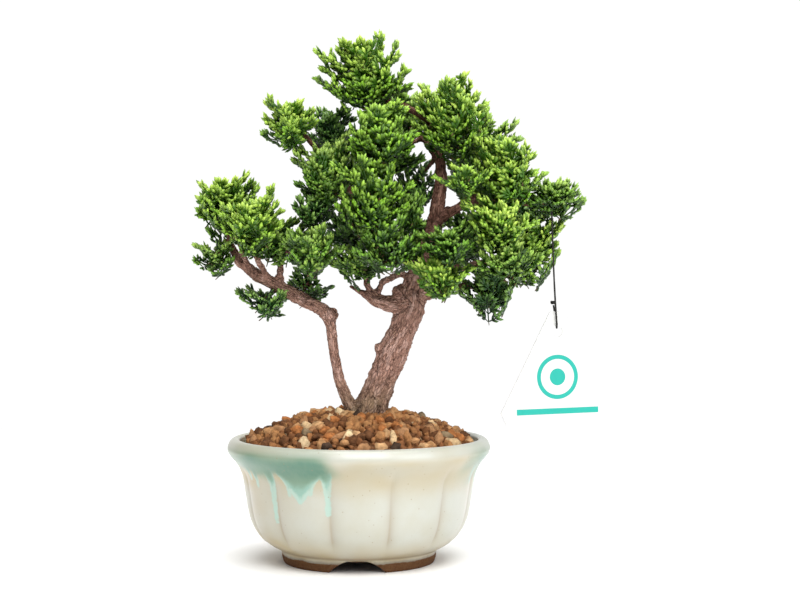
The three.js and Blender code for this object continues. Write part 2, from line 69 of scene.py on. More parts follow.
MM = 0.001
BODY = "root"
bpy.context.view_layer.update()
POT_LOW, POT_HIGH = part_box("pot")
AXIS = (POT_LOW + POT_HIGH) / 2
PADS = sorted(node for node in frame["nodes"] if node.startswith("foliage_"))

# Most of a noise lies between these two.
NOISY = {1: 0.3, 2: 0.7}


# Small helpers


def linear(code: str) -> tuple[float, float, float, float]:
    """Turn an sRGB hex colour into linear light.

    Args:
        code: Six hex digits after a hash.

    Returns:
        Red, green, blue and an alpha of one.
    """
    shares = [int(code[i : i + 2], 16) / 255 for i in (1, 3, 5)]
    red, green, blue = (s / 12.92 if s <= 0.04045 else ((s + 0.055) / 1.055) ** 2.4 for s in shares)
    return red, green, blue, 1.0


def feed(node: Node, inputs: Feeds) -> None:
    """Fill or link a node's inputs.

    Args:
        node: The node.
        inputs: Input name or number, and what feeds it: a value, a hex colour, a socket, or a node, which
            gives its first output in use.
    """
    for key, value in inputs.items():
        if isinstance(value, Node):
            value = next(socket for socket in value.outputs if socket.enabled)
        if isinstance(value, NodeSocket):
            node.id_data.links.new(value, node.inputs[key])
        elif isinstance(value, str) and value.startswith("#"):
            node.inputs[key].default_value = linear(value)
        else:
            node.inputs[key].default_value = value


def add(tree: NodeTree, kind: str, inputs: Feeds | None = None, **settings: object) -> Node:
    """Add one node with its settings and its links.

    Args:
        tree: The node tree that gets the node.
        kind: The node's type.
        inputs: Input name or number, and what feeds it.
        **settings: The node's own properties.

    Returns:
        The new node.
    """
    node = tree.nodes.new(kind)
    for name, value in settings.items():
        setattr(node, name, value)
    feed(node, inputs or {})
    return node


def per_mm(size: float) -> float:
    """Turn the real size of a pattern, in mm, into its scale."""
    return 1 / (size * MM)


def smoothstep(values: Points, low: float | Points, high: float | Points) -> Points:
    """Ease from 0 at low to 1 at high."""
    share = np.clip((values - low) / (high - low), 0, 1)
    return share * share * (3 - 2 * share)


def fade(values: Points, rise: Sequence[float | Points], fall: Sequence[float | Points]) -> Points:
    """Ease from 0 to 1 over the first span, and back over the second."""
    return smoothstep(values, *rise) * (1 - smoothstep(values, *fall))


def in_scene(name: str, data: bpy.types.ID) -> Object:
    """Put a mesh, a lamp or a camera into the scene.

    Args:
        name: The object's name.
        data: What it shows.

    Returns:
        The object.
    """
    piece = bpy.data.objects.new(name, data)
    bpy.context.collection.objects.link(piece)
    return piece


def to_mesh(work: bmesh.types.BMesh, name: str) -> Mesh:
    """Turn worked-on faces into a mesh.

    Args:
        work: The faces. They are used up.
        name: The mesh's name.

    Returns:
        The mesh.
    """
    mesh = bpy.data.meshes.new(name)
    work.to_mesh(mesh)
    work.free()
    return mesh


def new_object(name: str, points: Points, faces: Faces) -> Object:
    """Make a smooth mesh object with its faces pointing out.

    Args:
        name: The object's name.
        points: Corners, in metres.
        faces: Corner numbers of each face.

    Returns:
        The object, in the scene.
    """
    loose = bpy.data.meshes.new("loose")
    loose.from_pydata([tuple(point) for point in points], [], faces)
    work = bmesh.new()
    work.from_mesh(loose)
    bpy.data.meshes.remove(loose)
    bmesh.ops.recalc_face_normals(work, faces=work.faces)
    mesh = to_mesh(work, name)
    mesh.shade_smooth()
    return in_scene(name, mesh)


def store(mesh: Mesh, name: str, values: Points) -> None:
    """Keep a number or a vector for each corner of a mesh, for its material to read."""
    kind, key = ("FLOAT", "value") if values.ndim == 1 else ("FLOAT_VECTOR", "vector")
    mesh.attributes.new(name, kind, "POINT").data.foreach_set(key, np.asarray(values, np.float32).ravel())


def corner_table(mesh: Mesh, name: str) -> Points:
    """Read a vector of every corner of a mesh.

    Args:
        mesh: The mesh.
        name: Which vector, such as its place or its normal.

    Returns:
        Rows of three.
    """
    table = np.empty(len(mesh.vertices) * 3)
    mesh.vertices.foreach_get(name, table)
    return table.reshape(-1, 3)


def lookup(places: list[Vector] | Points) -> kdtree.KDTree:
    """Sort places so that the nearest to any spot is found fast.

    Args:
        places: The places.

    Returns:
        The tree that finds them.
    """
    tree = kdtree.KDTree(len(places))
    for i, place in enumerate(places):
        tree.insert(place, i)
    tree.balance()
    return tree


def baked(source: Object, name: str) -> Object:
    """Turn an object with live modifiers into a plain mesh object.

    Args:
        source: The object with its modifiers. It is used up.
        name: The new object's name.

    Returns:
        The plain object, at the origin.
    """
    graph = bpy.context.evaluated_depsgraph_get()
    mesh = bpy.data.meshes.new_from_object(source.evaluated_get(graph), depsgraph=graph)
    bpy.data.objects.remove(source)
    return in_scene(name, mesh)


def node_copy(node: str) -> Object:
    """Copy a CAD node's mesh, with its doubled corners merged.

    Args:
        node: The node's name.

    Returns:
        The copy.
    """
    work = bmesh.new()
    work.from_mesh(frame["nodes"][node].data)
    bmesh.ops.remove_doubles(work, verts=work.verts, dist=0.001 * MM)
    return in_scene(f"{node}_copy", to_mesh(work, f"{node}_copy"))


def keep(piece: Object, slot: str, finish: Material, *nodes: str) -> None:
    """Dress a finished piece, fix it to the tree's body and let it stand for its CAD nodes.

    Args:
        piece: The finished piece.
        slot: The record's material slot that it takes; not used.
        finish: Its material.
        *nodes: The CAD nodes that it replaces.
    """
    piece.data.materials.clear()
    piece.data.materials.append(finish)
    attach(piece, BODY)
    if nodes:
        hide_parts(*nodes)
    LOG.info("%s: %d faces, stands for %s", piece.name, len(piece.data.polygons), nodes or "nothing")


def dress(node: str, finish: Material) -> None:
    """Give a CAD node that stays as it is its material."""
    materials = frame["nodes"][node].data.materials
    materials.clear()
    materials.append(finish)
    LOG.info("%s: CAD node, dressed", node)


# Lines and tubes


def spline(route: Points, per_stretch: int) -> Points:
    """Run a smooth line through given points.

    Args:
        route: The points.
        per_stretch: How many steps there are from one to the next.

    Returns:
        The points of the smooth line.
    """
    ends = np.concatenate([2 * route[:1] - route[1:2], route, 2 * route[-1:] - route[-2:-1]])
    out = []
    for i in range(1, len(ends) - 2):
        before, here, there, after = ends[i - 1 : i + 3]
        for share in np.arange(per_stretch) / per_stretch:
            bend = (2 * before - 5 * here + 4 * there - after) * share**2
            twist = (3 * here - before - 3 * there + after) * share**3
            out.append((2 * here + (there - before) * share + bend + twist) / 2)
    return np.array(out + [route[-1]])


def sweep(path: Points, radii: Points) -> Points:
    """Lay a ring of corners round each point of a path.

    Args:
        path: The points.
        radii: For each point, the radius of each corner of its ring.

    Returns:
        The corners, ring after ring.
    """
    along = np.gradient(path, axis=0)
    along /= np.linalg.norm(along, axis=1)[:, None]
    turns = np.arange(radii.shape[1]) * 2 * math.pi / radii.shape[1]
    side = np.array([0.0, 1.0, 0.0])
    rings = []
    for place, ahead, radius in zip(path, along, radii):
        side = side - ahead * side.dot(ahead)
        side /= np.linalg.norm(side)
        other = np.cross(ahead, side)
        rings.append(place + np.outer(radius * np.cos(turns), side) + np.outer(radius * np.sin(turns), other))
    return np.concatenate(rings)


def tube_faces(rings: int, sides: int) -> Faces:
    """Join rings of corners into a closed tube with flat ends.

    Args:
        rings: How many rings there are.
        sides: How many corners a ring has.

    Returns:
        The corner numbers of each face.
    """
    faces = [
        (i * sides + k, i * sides + (k + 1) % sides, (i + 1) * sides + (k + 1) % sides, (i + 1) * sides + k)
        for i in range(rings - 1)
        for k in range(sides)
    ]
    return [*faces, tuple(range(sides)), tuple(range((rings - 1) * sides, rings * sides))]


# Geometry Nodes


def start_tree(name: str, carrier: str, **kinds: str) -> tuple[NodeTree, Adder, dict[str, NodeSocket]]:
    """Start a tree that grows things on a mesh.

    Args:
        name: The tree's name.
        carrier: The name of the input that takes the mesh.
        **kinds: The name of each further input, and its kind of socket.

    Returns:
        The tree, what adds a node to it, and its inputs by name.
    """
    tree = bpy.data.node_groups.new(name, "GeometryNodeTree")
    for socket, kind in {carrier: "Geometry", **kinds}.items():
        tree.interface.new_socket(socket, in_out="INPUT", socket_type=f"NodeSocket{kind}")
    tree.interface.new_socket("Grown", in_out="OUTPUT", socket_type="NodeSocketGeometry")
    return tree, partial(add, tree), dict(add(tree, "NodeGroupInput").outputs.items())


def end_tree(node: Adder, instances: Node, finish: NodeSocket) -> None:
    """Make a tree's instances real, dress them and hand them out."""
    real = node("GeometryNodeRealizeInstances", {0: instances})
    node("NodeGroupOutput", {0: node("GeometryNodeSetMaterial", {"Geometry": real, "Material": finish})})


def grow(carrier: Object, tree: NodeTree, sizes: dict[str, object], name: str) -> Object:
    """Run a tree on a carrier and keep what it makes.

    Args:
        carrier: The mesh that the tree works on. It is used up.
        tree: The node tree.
        sizes: The value of each named input.
        name: The new piece's name.

    Returns:
        The plain mesh object.
    """
    modifier = carrier.modifiers.new("Grow", "NODES")
    modifier.node_group = tree
    for socket in tree.interface.items_tree:
        if socket.name in sizes:
            modifier[socket.identifier] = sizes[socket.name]
    return baked(carrier, name)


# Finishes


@dataclass(frozen=True)
class Finish:
    """A surface: its name, how rough it is and how strongly it mirrors its surroundings."""

    name: str
    roughness: float
    sheen: float = 0.5

    def build(self) -> Material:
        """Make the material, and feed its shader with the finish's own pattern.

        Returns:
            The material.
        """
        material = bpy.data.materials.new(self.name)
        material.use_nodes = True
        tree = material.node_tree
        shader = tree.nodes["Principled BSDF"]
        feed(shader, {"Roughness": self.roughness, "Specular IOR Level": self.sheen})
        feed(shader, self.pattern(partial(add, tree)))
        return material

    def pattern(self, node: Adder) -> Feeds:
        """Say what feeds the shader: nothing, for a surface without a pattern."""
        return {}


@dataclass(frozen=True)
class GlazedStoneware(Finish):
    """Thrown stoneware, dipped in a cream glaze with a run of celadon poured over the rim.

    The glaze gives a soft gloss over a cloudy body. Warm beige is painted shade under the lip, low on the
    body and down the left side, and darker brown is painted shade in the creases and in the angle over the
    foot. The foot is bare, brown and dull.
    """

    name: str = "cream_glazed_stoneware"
    roughness: float = 0.34
    cream: str = "#B5B3A4"
    pale: str = "#BABBB1"
    # warm and crease are painted shade; the other coats are glaze colours.
    coats: tuple[tuple[str, str], ...] = (
        ("warm", "#B0A17E"), ("crease", "#8F785A"), ("drip", "#A4C0B3"), ("core", "#86AC9C"),
        ("celadon", "#6E8C74"), ("deep", "#4F7A66"), ("thin", "#7E776A"),
    )
    speck: str = "#8F785A"
    clay: str = "#4B301E"
    clay_light: str = "#755439"
    cloud_mm: float = 26.0
    grain_mm: float = 1.6
    speck_mm: float = 5.5
    ragged_mm: float = 3.2
    streak_mm: float = 2.4
    drawn_down: float = 0.12
    coat_roughness: float = 0.15

    def pattern(self, node: Adder) -> Feeds:
        """Mix the glazes and the painted shade by the masks that the pot's mesh carries.

        Args:
            node: Adds a node to the material.

        Returns:
            What feeds the shader.
        """
        place = node("ShaderNodeTexCoord").outputs["Object"]
        upright = node("ShaderNodeMapping", {0: place, "Scale": (1.0, 1.0, self.drawn_down)})
        cloud, grain, ragged, streak = (
            node("ShaderNodeTexNoise", {"Vector": where, "Scale": per_mm(size), "Detail": detail})
            for where, size, detail in (
                (place, self.cloud_mm, 5.0), (place, self.grain_mm, 3.0), (place, self.ragged_mm, 2.0),
                (upright, self.streak_mm, 3.0),
            )
        )
        soft = node("ShaderNodeMapRange", {0: cloud, 1: 0.35, 2: 0.65})
        ragged = node("ShaderNodeMapRange", {0: ragged, **NOISY, 3: -0.6, 4: 0.6})
        streak = node("ShaderNodeMapRange", {0: streak, **NOISY, 3: 0.72, 4: 1.0})
        colour = node("ShaderNodeMix", {0: soft, 6: self.cream, 7: self.pale}, data_type="RGBA")
        for name, code in self.coats:
            mask = node("ShaderNodeAttribute", attribute_name=name).outputs["Fac"]
            if name in ("drip", "core"):
                start, full = (-0.1, 0.9) if name == "drip" else (0.6, 3.0)
                mask = node("ShaderNodeMath", {0: ragged, 1: mask}, operation="ADD")
                mask = node("ShaderNodeMapRange", {0: mask, 1: start, 2: full})
            if name in ("drip", "deep"):
                mask = node("ShaderNodeMath", {0: mask, 1: streak}, operation="MULTIPLY")
            colour = node("ShaderNodeMix", {0: mask, 6: colour, 7: code}, data_type="RGBA")
        specks = node("ShaderNodeTexVoronoi", {"Vector": place, "Scale": per_mm(self.speck_mm)})
        specks = node("ShaderNodeMapRange", {0: specks, 1: 0.06, 2: 0.1, 3: 0.55, 4: 0.0})
        colour = node("ShaderNodeMix", {0: specks, 6: colour, 7: self.speck}, data_type="RGBA")
        clay = node("ShaderNodeMix", {0: grain, 6: self.clay, 7: self.clay_light}, data_type="RGBA")
        bare = node("ShaderNodeAttribute", attribute_name="bare").outputs["Fac"]
        dull, coat, rough, mirror = (
            node("ShaderNodeMapRange", {0: bare, 3: on_glaze, 4: on_clay})
            for on_glaze, on_clay in ((self.roughness, 0.85), (0.3, 0.0), (0.12, 1.0), (self.sheen, 0.1))
        )
        return {
            "Base Color": node("ShaderNodeMix", {0: bare, 6: colour, 7: clay}, data_type="RGBA"),
            "Normal": node("ShaderNodeBump", {"Height": grain, "Strength": rough, "Distance": 0.25 * MM}),
            "Roughness": dull, "Coat Weight": coat, "Coat Roughness": self.coat_roughness,
            "Specular IOR Level": mirror,
        }


@dataclass(frozen=True)
class Bark(Finish):
    """Old cypress bark, weathered on the trunk and still red on the young wood.

    The eye sees narrow fissures and fine cracks between lifted, pinkish-grey flakes, painted near-black as
    shade, and a greenish bloom near the soil.
    """

    name: str = "cypress_bark"
    roughness: float = 0.9
    sheen: float = 0.15
    # Painted shade, laid in the fissures and cracks.
    fissure: str = "#2E1C16"
    old: str = "#AC8474"
    flake: str = "#C8A294"
    young: str = "#704A3C"
    young_flake: str = "#A27462"
    moss: str = "#716B48"
    grit_mm: float = 0.8
    crack_mm: float = 1.9
    patch_mm: float = 9.0
    moss_low: float = 104 * MM
    moss_high: float = 142 * MM
    drawn_out: float = 0.36

    def pattern(self, node: Adder) -> Feeds:
        """Colour the bark by its relief, with painted shade in its low places and cracks, by the wood's age
        and by its height over the soil.

        Args:
            node: Adds a node to the material.

        Returns:
            What feeds the shader.
        """
        place = node("ShaderNodeTexCoord").outputs["Object"]
        relief, age, plate = (
            node("ShaderNodeAttribute", attribute_name=name).outputs["Fac"]
            for name in ("relief", "age", "flake")
        )
        along = node("ShaderNodeAttribute", attribute_name="grain").outputs["Vector"]
        along = node("ShaderNodeMapping", {0: along, "Scale": (1.0, 1.0, self.drawn_out)})
        grit = node("ShaderNodeTexNoise", {"Vector": along, "Scale": per_mm(self.grit_mm), "Detail": 4.0})
        patch = node("ShaderNodeTexNoise", {"Vector": place, "Scale": per_mm(self.patch_mm), "Detail": 5.0})
        crack = self.cracks(node, along)
        spread = node("ShaderNodeMath", {0: plate, 1: patch}, operation="ADD")
        flaking = node("ShaderNodeMapRange", {0: spread, 1: 0.6, 2: 1.3})
        old = node("ShaderNodeMix", {0: flaking, 6: self.old, 7: self.flake}, data_type="RGBA")
        young = node("ShaderNodeMix", {0: flaking, 6: self.young, 7: self.young_flake}, data_type="RGBA")
        wood = node("ShaderNodeMix", {0: age, 6: young, 7: old}, data_type="RGBA")
        height = node("ShaderNodeSeparateXYZ", {0: place}).outputs[2]
        low = node("ShaderNodeMapRange", {0: height, 1: self.moss_high, 2: self.moss_low, 3: 0.0, 4: 1.3})
        mossy = node("ShaderNodeMath", {0: low, 1: patch}, operation="MULTIPLY")
        wood = node("ShaderNodeMix", {0: mossy, 6: wood, 7: self.moss}, data_type="RGBA")
        # Painted shade: the low relief and the cracks take the near-black fissure colour.
        rubbed = node("ShaderNodeMath", {0: relief, 1: grit}, operation="ADD")
        unshaded = node("ShaderNodeMapRange", {0: rubbed, 1: 0.35, 2: 0.9})
        faint = node("ShaderNodeMapRange", {0: patch, 1: 0.38, 2: 0.62, 3: 0.35, 4: 0.9})
        unbroken = node("ShaderNodeMapRange", {0: crack, 3: faint, 4: 1.0})
        unshaded = node("ShaderNodeMath", {0: unshaded, 1: unbroken}, operation="MULTIPLY")
        height = node("ShaderNodeMath", {0: crack, 1: grit}, operation="ADD")
        return {
            "Base Color": node("ShaderNodeMix", {0: unshaded, 6: self.fissure, 7: wood}, data_type="RGBA"),
            "Normal": node("ShaderNodeBump", {"Height": height, "Strength": 1.0, "Distance": 0.7 * MM}),
        }

    def cracks(self, node: Adder, along: Node) -> Node:
        """Draw fine cracks that wander by about their own spacing, so that none runs straight.

        Args:
            node: Adds a node to the material.
            along: Places in the wood's own axes.

        Returns:
            None in a crack and one between them.
        """
        size = self.crack_mm * MM
        drift = node("ShaderNodeTexNoise", {"Vector": along, "Scale": 0.4 / size, "Detail": 2.0})
        drift = {0: drift.outputs["Color"], 1: (0.5, 0.5, 0.5)}
        drift = node("ShaderNodeVectorMath", drift, operation="SUBTRACT")
        drift = node("ShaderNodeVectorMath", {0: drift, "Scale": 1.6 * size}, operation="SCALE")
        bent = node("ShaderNodeVectorMath", {0: along, 1: drift}, operation="ADD")
        edge = node("ShaderNodeTexVoronoi", {"Vector": bent, "Scale": 1 / size}, feature="DISTANCE_TO_EDGE")
        return node("ShaderNodeMapRange", {0: edge, 1: 0.02, 2: 0.2})


@dataclass(frozen=True)
class ScaleLeaf(Finish):
    """Waxy scale leaves pressed flat on their shoots.

    The new growth at each tip is yellow-green; the older scales behind it are deep green with a dull wax
    bloom, and the stem under them is brown. Over this, light and shade are painted: fans marked sunlit take
    paler greens, and shaded ones near-black greens, which also paint the shade deep inside each fan.
    """

    name: str = "waxy_scale_leaves"
    roughness: float = 0.42
    sheen: float = 0.42
    # shade and sunlit are painted shade and painted light; body and tip are the older and newer greens.
    shade: str = "#183406"
    body: str = "#3E6C0A"
    tip: str = "#7EB424"
    sunlit: str = "#BEDA5C"
    stem: str = "#54401F"
    scale_mm: float = 1.3

    def pattern(self, node: Adder) -> Feeds:
        """Run from stem to tip along each shoot, and brighten where the pad faces the light.

        Args:
            node: Adds a node to the material.

        Returns:
            What feeds the shader.
        """
        place = node("ShaderNodeTexCoord").outputs["Object"]
        along, sun = (
            node("ShaderNodeAttribute", attribute_name=name).outputs["Fac"] for name in ("tip", "sun")
        )
        scales = node("ShaderNodeTexVoronoi", {"Vector": place, "Scale": per_mm(self.scale_mm)})
        dark = node("ShaderNodeMix", {0: sun, 6: self.shade, 7: self.body}, data_type="RGBA")
        light = node("ShaderNodeMix", {0: sun, 6: self.tip, 7: self.sunlit}, data_type="RGBA")
        newer = node("ShaderNodeMapRange", {0: along, 1: 0.35, 2: 0.85})
        green = node("ShaderNodeMix", {0: newer, 6: dark, 7: light}, data_type="RGBA")
        leafy = node("ShaderNodeMapRange", {0: along, 1: -0.6, 2: -0.1})
        return {
            "Base Color": node("ShaderNodeMix", {0: leafy, 6: self.stem, 7: green}, data_type="RGBA"),
            "Normal": node("ShaderNodeBump", {"Height": scales, "Strength": 0.5, "Distance": 0.35 * MM}),
        }


@dataclass(frozen=True)
class MixedStone(Finish):
    """Fired clay and lava grit, mostly brown, rough and pitted, with a few pale, dark and orange stones."""

    name: str = "mixed_pot_grit"
    roughness: float = 0.9
    sheen: float = 0.15
    palette: tuple[tuple[str, float], ...] = (
        ("#8A5C3A", 0.2), ("#9A6A42", 0.18), ("#7A5032", 0.16), ("#A6774C", 0.12), ("#68452C", 0.1),
        ("#B4875C", 0.07), ("#A86C3E", 0.06), ("#C0976C", 0.035), ("#CDAE84", 0.015), ("#45352A", 0.012),
        ("#D6BC94", 0.006), ("#857258", 0.014), ("#A87C56", 0.028),
    )
    pit_mm: float = 1.3
    blotch_mm: float = 3.5

    def pattern(self, node: Adder) -> Feeds:
        """Give each stone one colour of the palette, as often as its share says, blotched and pitted.

        Args:
            node: Adds a node to the material.

        Returns:
            What feeds the shader.
        """
        place = node("ShaderNodeTexCoord").outputs["Object"]
        draw = node("ShaderNodeAttribute", attribute_name="draw").outputs["Fac"]
        ramp = node("ShaderNodeValToRGB", {0: draw})
        ramp.color_ramp.interpolation = "CONSTANT"
        stops, reached = ramp.color_ramp.elements, 0.0
        stops.remove(stops[-1])
        for code, share in self.palette:
            stop = stops[0] if reached == 0 else stops.new(reached)
            stop.color = linear(code)
            reached += share
        pits = node("ShaderNodeTexNoise", {"Vector": place, "Scale": per_mm(self.pit_mm), "Detail": 5.0})
        blotch = {"Vector": place, "Scale": per_mm(self.blotch_mm), "Detail": 4.0}
        blotch = node("ShaderNodeTexNoise", blotch)
        value = node("ShaderNodeMapRange", {0: blotch, **NOISY, 3: 0.6, 4: 1.35})
        return {
            "Base Color": node("ShaderNodeHueSaturation", {"Color": ramp, "Value": value}),
            "Normal": node("ShaderNodeBump", {"Height": pits, "Strength": 1.0, "Distance": 0.9 * MM}),
        }


@dataclass(frozen=True)
class Plain(Finish):
    """A surface of two close colours, mottled and slightly rough, such as soil, netting, paper or twine."""

    sheen: float = 0.1
    base: str = "#808080"
    mottle: str = "#909090"
    grain_mm: float = 1.0
    relief_mm: float = 0.2

    def pattern(self, node: Adder) -> Feeds:
        """Mottle the two colours and raise the grain.

        Args:
            node: Adds a node to the material.

        Returns:
            What feeds the shader.
        """
        place = node("ShaderNodeTexCoord").outputs["Object"]
        grain = node("ShaderNodeTexNoise", {"Vector": place, "Scale": per_mm(self.grain_mm), "Detail": 5.0})
        bump = {"Height": grain, "Strength": 0.7, "Distance": self.relief_mm * MM}
        return {
            "Base Color": node("ShaderNodeMix", {0: grain, 6: self.base, 7: self.mottle}, data_type="RGBA"),
            "Normal": node("ShaderNodeBump", bump),
        }


SOIL = Plain("damp_akadama_soil", 0.95, 0.1, "#4A2F1C", "#7A5233", 2.2, 1.2)
NETTING = Plain("moulded_polyethylene_net", 0.55, 0.4, "#262826", "#2F322F", 0.8, 0.05)
THREAD = Plain("waxed_black_twine", 0.75, 0.2, "#171616", "#34322F", 0.5, 0.1)
PAPER = Plain("white_paper_sweep", 1.0, 0.0, "#FBFBFB", "#FDFDFD", 40.0, 0.0)


@dataclass(frozen=True)
class PrintedCard(Finish):
    """White coated board with a print in one teal ink: a ring round a dot, over a plain band.

    The coating is smooth, so the eye sees a flat white with crisp edges to the ink. The hole's middle and how
    far the card is turned about the upright and tilted to the side, in degrees, place the print.
    """

    name: str = "coated_white_board"
    roughness: float = 0.55
    board: str = "#D6D6D3"
    ink: str = "#10A596"
    ring_below: float = 34.0
    ring_radius: float = 15.0
    ring_width: float = 3.2
    dot_radius: float = 6.3
    band_below: float = 59.5
    band_half: float = 33.0
    band_height: float = 4.4
    # The fibres of such board are finer, and are drawn this coarse so that they show.
    fibre_mm: float = 0.9
    hole: Place = (0.0, 0.0, 0.0)
    turn: float = 0.0
    tilt: float = 0.0

    def pattern(self, node: Adder) -> Feeds:
        """Print the ring, the dot and the band below the punched hole.

        Args:
            node: Adds a node to the material.

        Returns:
            What feeds the shader.
        """
        place = node("ShaderNodeTexCoord").outputs["Object"]
        away = node("ShaderNodeVectorMath", {0: place, 1: self.hole}, operation="SUBTRACT")
        angles = (0.0, math.radians(self.tilt), -math.radians(self.turn))
        flat = node("ShaderNodeMapping", {0: away, "Rotation": angles, "Scale": (1 / MM,) * 3})
        across, _, up = node("ShaderNodeSeparateXYZ", {0: flat}).outputs
        from_ring = node("ShaderNodeMath", {0: up, 1: self.ring_below}, operation="ADD")
        spot = node("ShaderNodeCombineXYZ", {0: across, 1: from_ring})
        radius = node("ShaderNodeVectorMath", {0: spot}, operation="LENGTH")
        ring, tall, wide = (
            node("ShaderNodeMath", {0: value, 1: middle, 2: half}, operation="COMPARE")
            for value, middle, half in (
                (radius, self.ring_radius, self.ring_width / 2), (up, -self.band_below, self.band_height / 2),
                (across, 0.0, self.band_half),
            )
        )
        dot = node("ShaderNodeMath", {0: radius, 1: self.dot_radius}, operation="LESS_THAN")
        bar = node("ShaderNodeMath", {0: tall, 1: wide}, operation="MULTIPLY")
        motif = node("ShaderNodeMath", {0: ring, 1: dot}, operation="MAXIMUM")
        ink = node("ShaderNodeMath", {0: motif, 1: bar}, operation="MAXIMUM")
        fibre = node("ShaderNodeTexNoise", {"Vector": place, "Scale": per_mm(self.fibre_mm), "Detail": 3.0})
        return {
            "Base Color": node("ShaderNodeMix", {0: ink, 6: self.board, 7: self.ink}, data_type="RGBA"),
            "Normal": node("ShaderNodeBump", {"Height": fibre, "Strength": 0.15, "Distance": 0.05 * MM}),
        }


# Tag: twine, knot and card


@dataclass
class Tag:
    """The card that hangs on black twine from an outer twig."""

    diameter: float = 1.4 * MM
    sides: int = 12
    per_stretch: int = 10
    lay_pitch: float = 5.0 * MM
    groove: float = 0.12
    knot_size: float = 0.465 * MM
    knot_steps: int = 64
    turn: float = 18.0
    tilt: float = 0.8
    hole: Place = (147.8, -7.0, 172.5)
    route: tuple[Place, ...] = (
        (143.6, -4.6, 266.5), (144, -6.5, 256.5), (144.6, -8.2, 234.5), (145.6, -8.9, 209.5),
        (146.6, -9.2, 191.5), (147.4, -9.2, 180.5), (147.6, -8.9, 176.9), (147.7, -7, 175.1),
        (147.6, -5.1, 176.9), (147.2, -4.9, 180.5), (145.4, -5.3, 192),
    )

    def twine(self, name: str, path: Points) -> Object:
        """Make two-ply twine along a path.

        Args:
            name: The piece's name.
            path: The points that it follows, in metres.

        Returns:
            The mesh tube, closed at both ends.
        """
        steps = np.diff(path, axis=0, prepend=path[:1])
        length = np.cumsum(np.linalg.norm(steps, axis=1))
        turns = np.arange(self.sides) * 2 * math.pi / self.sides
        ply = np.abs(np.cos(turns[None, :] - 2 * math.pi * length[:, None] / self.lay_pitch))
        corners = sweep(path, self.diameter / 2 * (1 - self.groove + self.groove * ply))
        return new_object(name, corners, tube_faces(len(path), self.sides))

    def knot(self) -> Points:
        """Lead a simple overhand knot round the middle of its CAD node.

        Returns:
            The points of its closed loop.
        """
        angles = np.linspace(0, 2 * math.pi, self.knot_steps, endpoint=False)
        loop = np.stack([
            np.sin(angles) + 2 * np.sin(2 * angles),
            np.cos(angles) - 2 * np.cos(2 * angles),
            -1.6 * np.sin(3 * angles),
        ], axis=1) * self.knot_size
        low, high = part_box("tag_knot")
        return np.concatenate([loop, loop[:1]]) + np.array((low + high) / 2)

    def build(self) -> None:
        shift = np.array([AXIS.x, 0, 0])
        path = spline(np.array(self.route) * MM, self.per_stretch) + shift
        twine = self.twine("tag_twine", path)
        finish = THREAD.build()
        keep(twine, "thread", finish, "tag_string")
        knot = self.twine("tag_twine_knot", self.knot())
        keep(knot, "thread", finish, "tag_knot")
        hole = tuple(Vector(self.hole) * MM + Vector(shift))
        dress("tag_card", PrintedCard(hole=hole, turn=self.turn, tilt=self.tilt).build())


# Pot


@dataclass(frozen=True)
class Run:
    """One run of glaze: its angle round the pot, its half width at top and tip, and its end, in mm."""

    angle: float
    half: float
    end: float
    tip: float = 1.6
    taper: float = 1.0


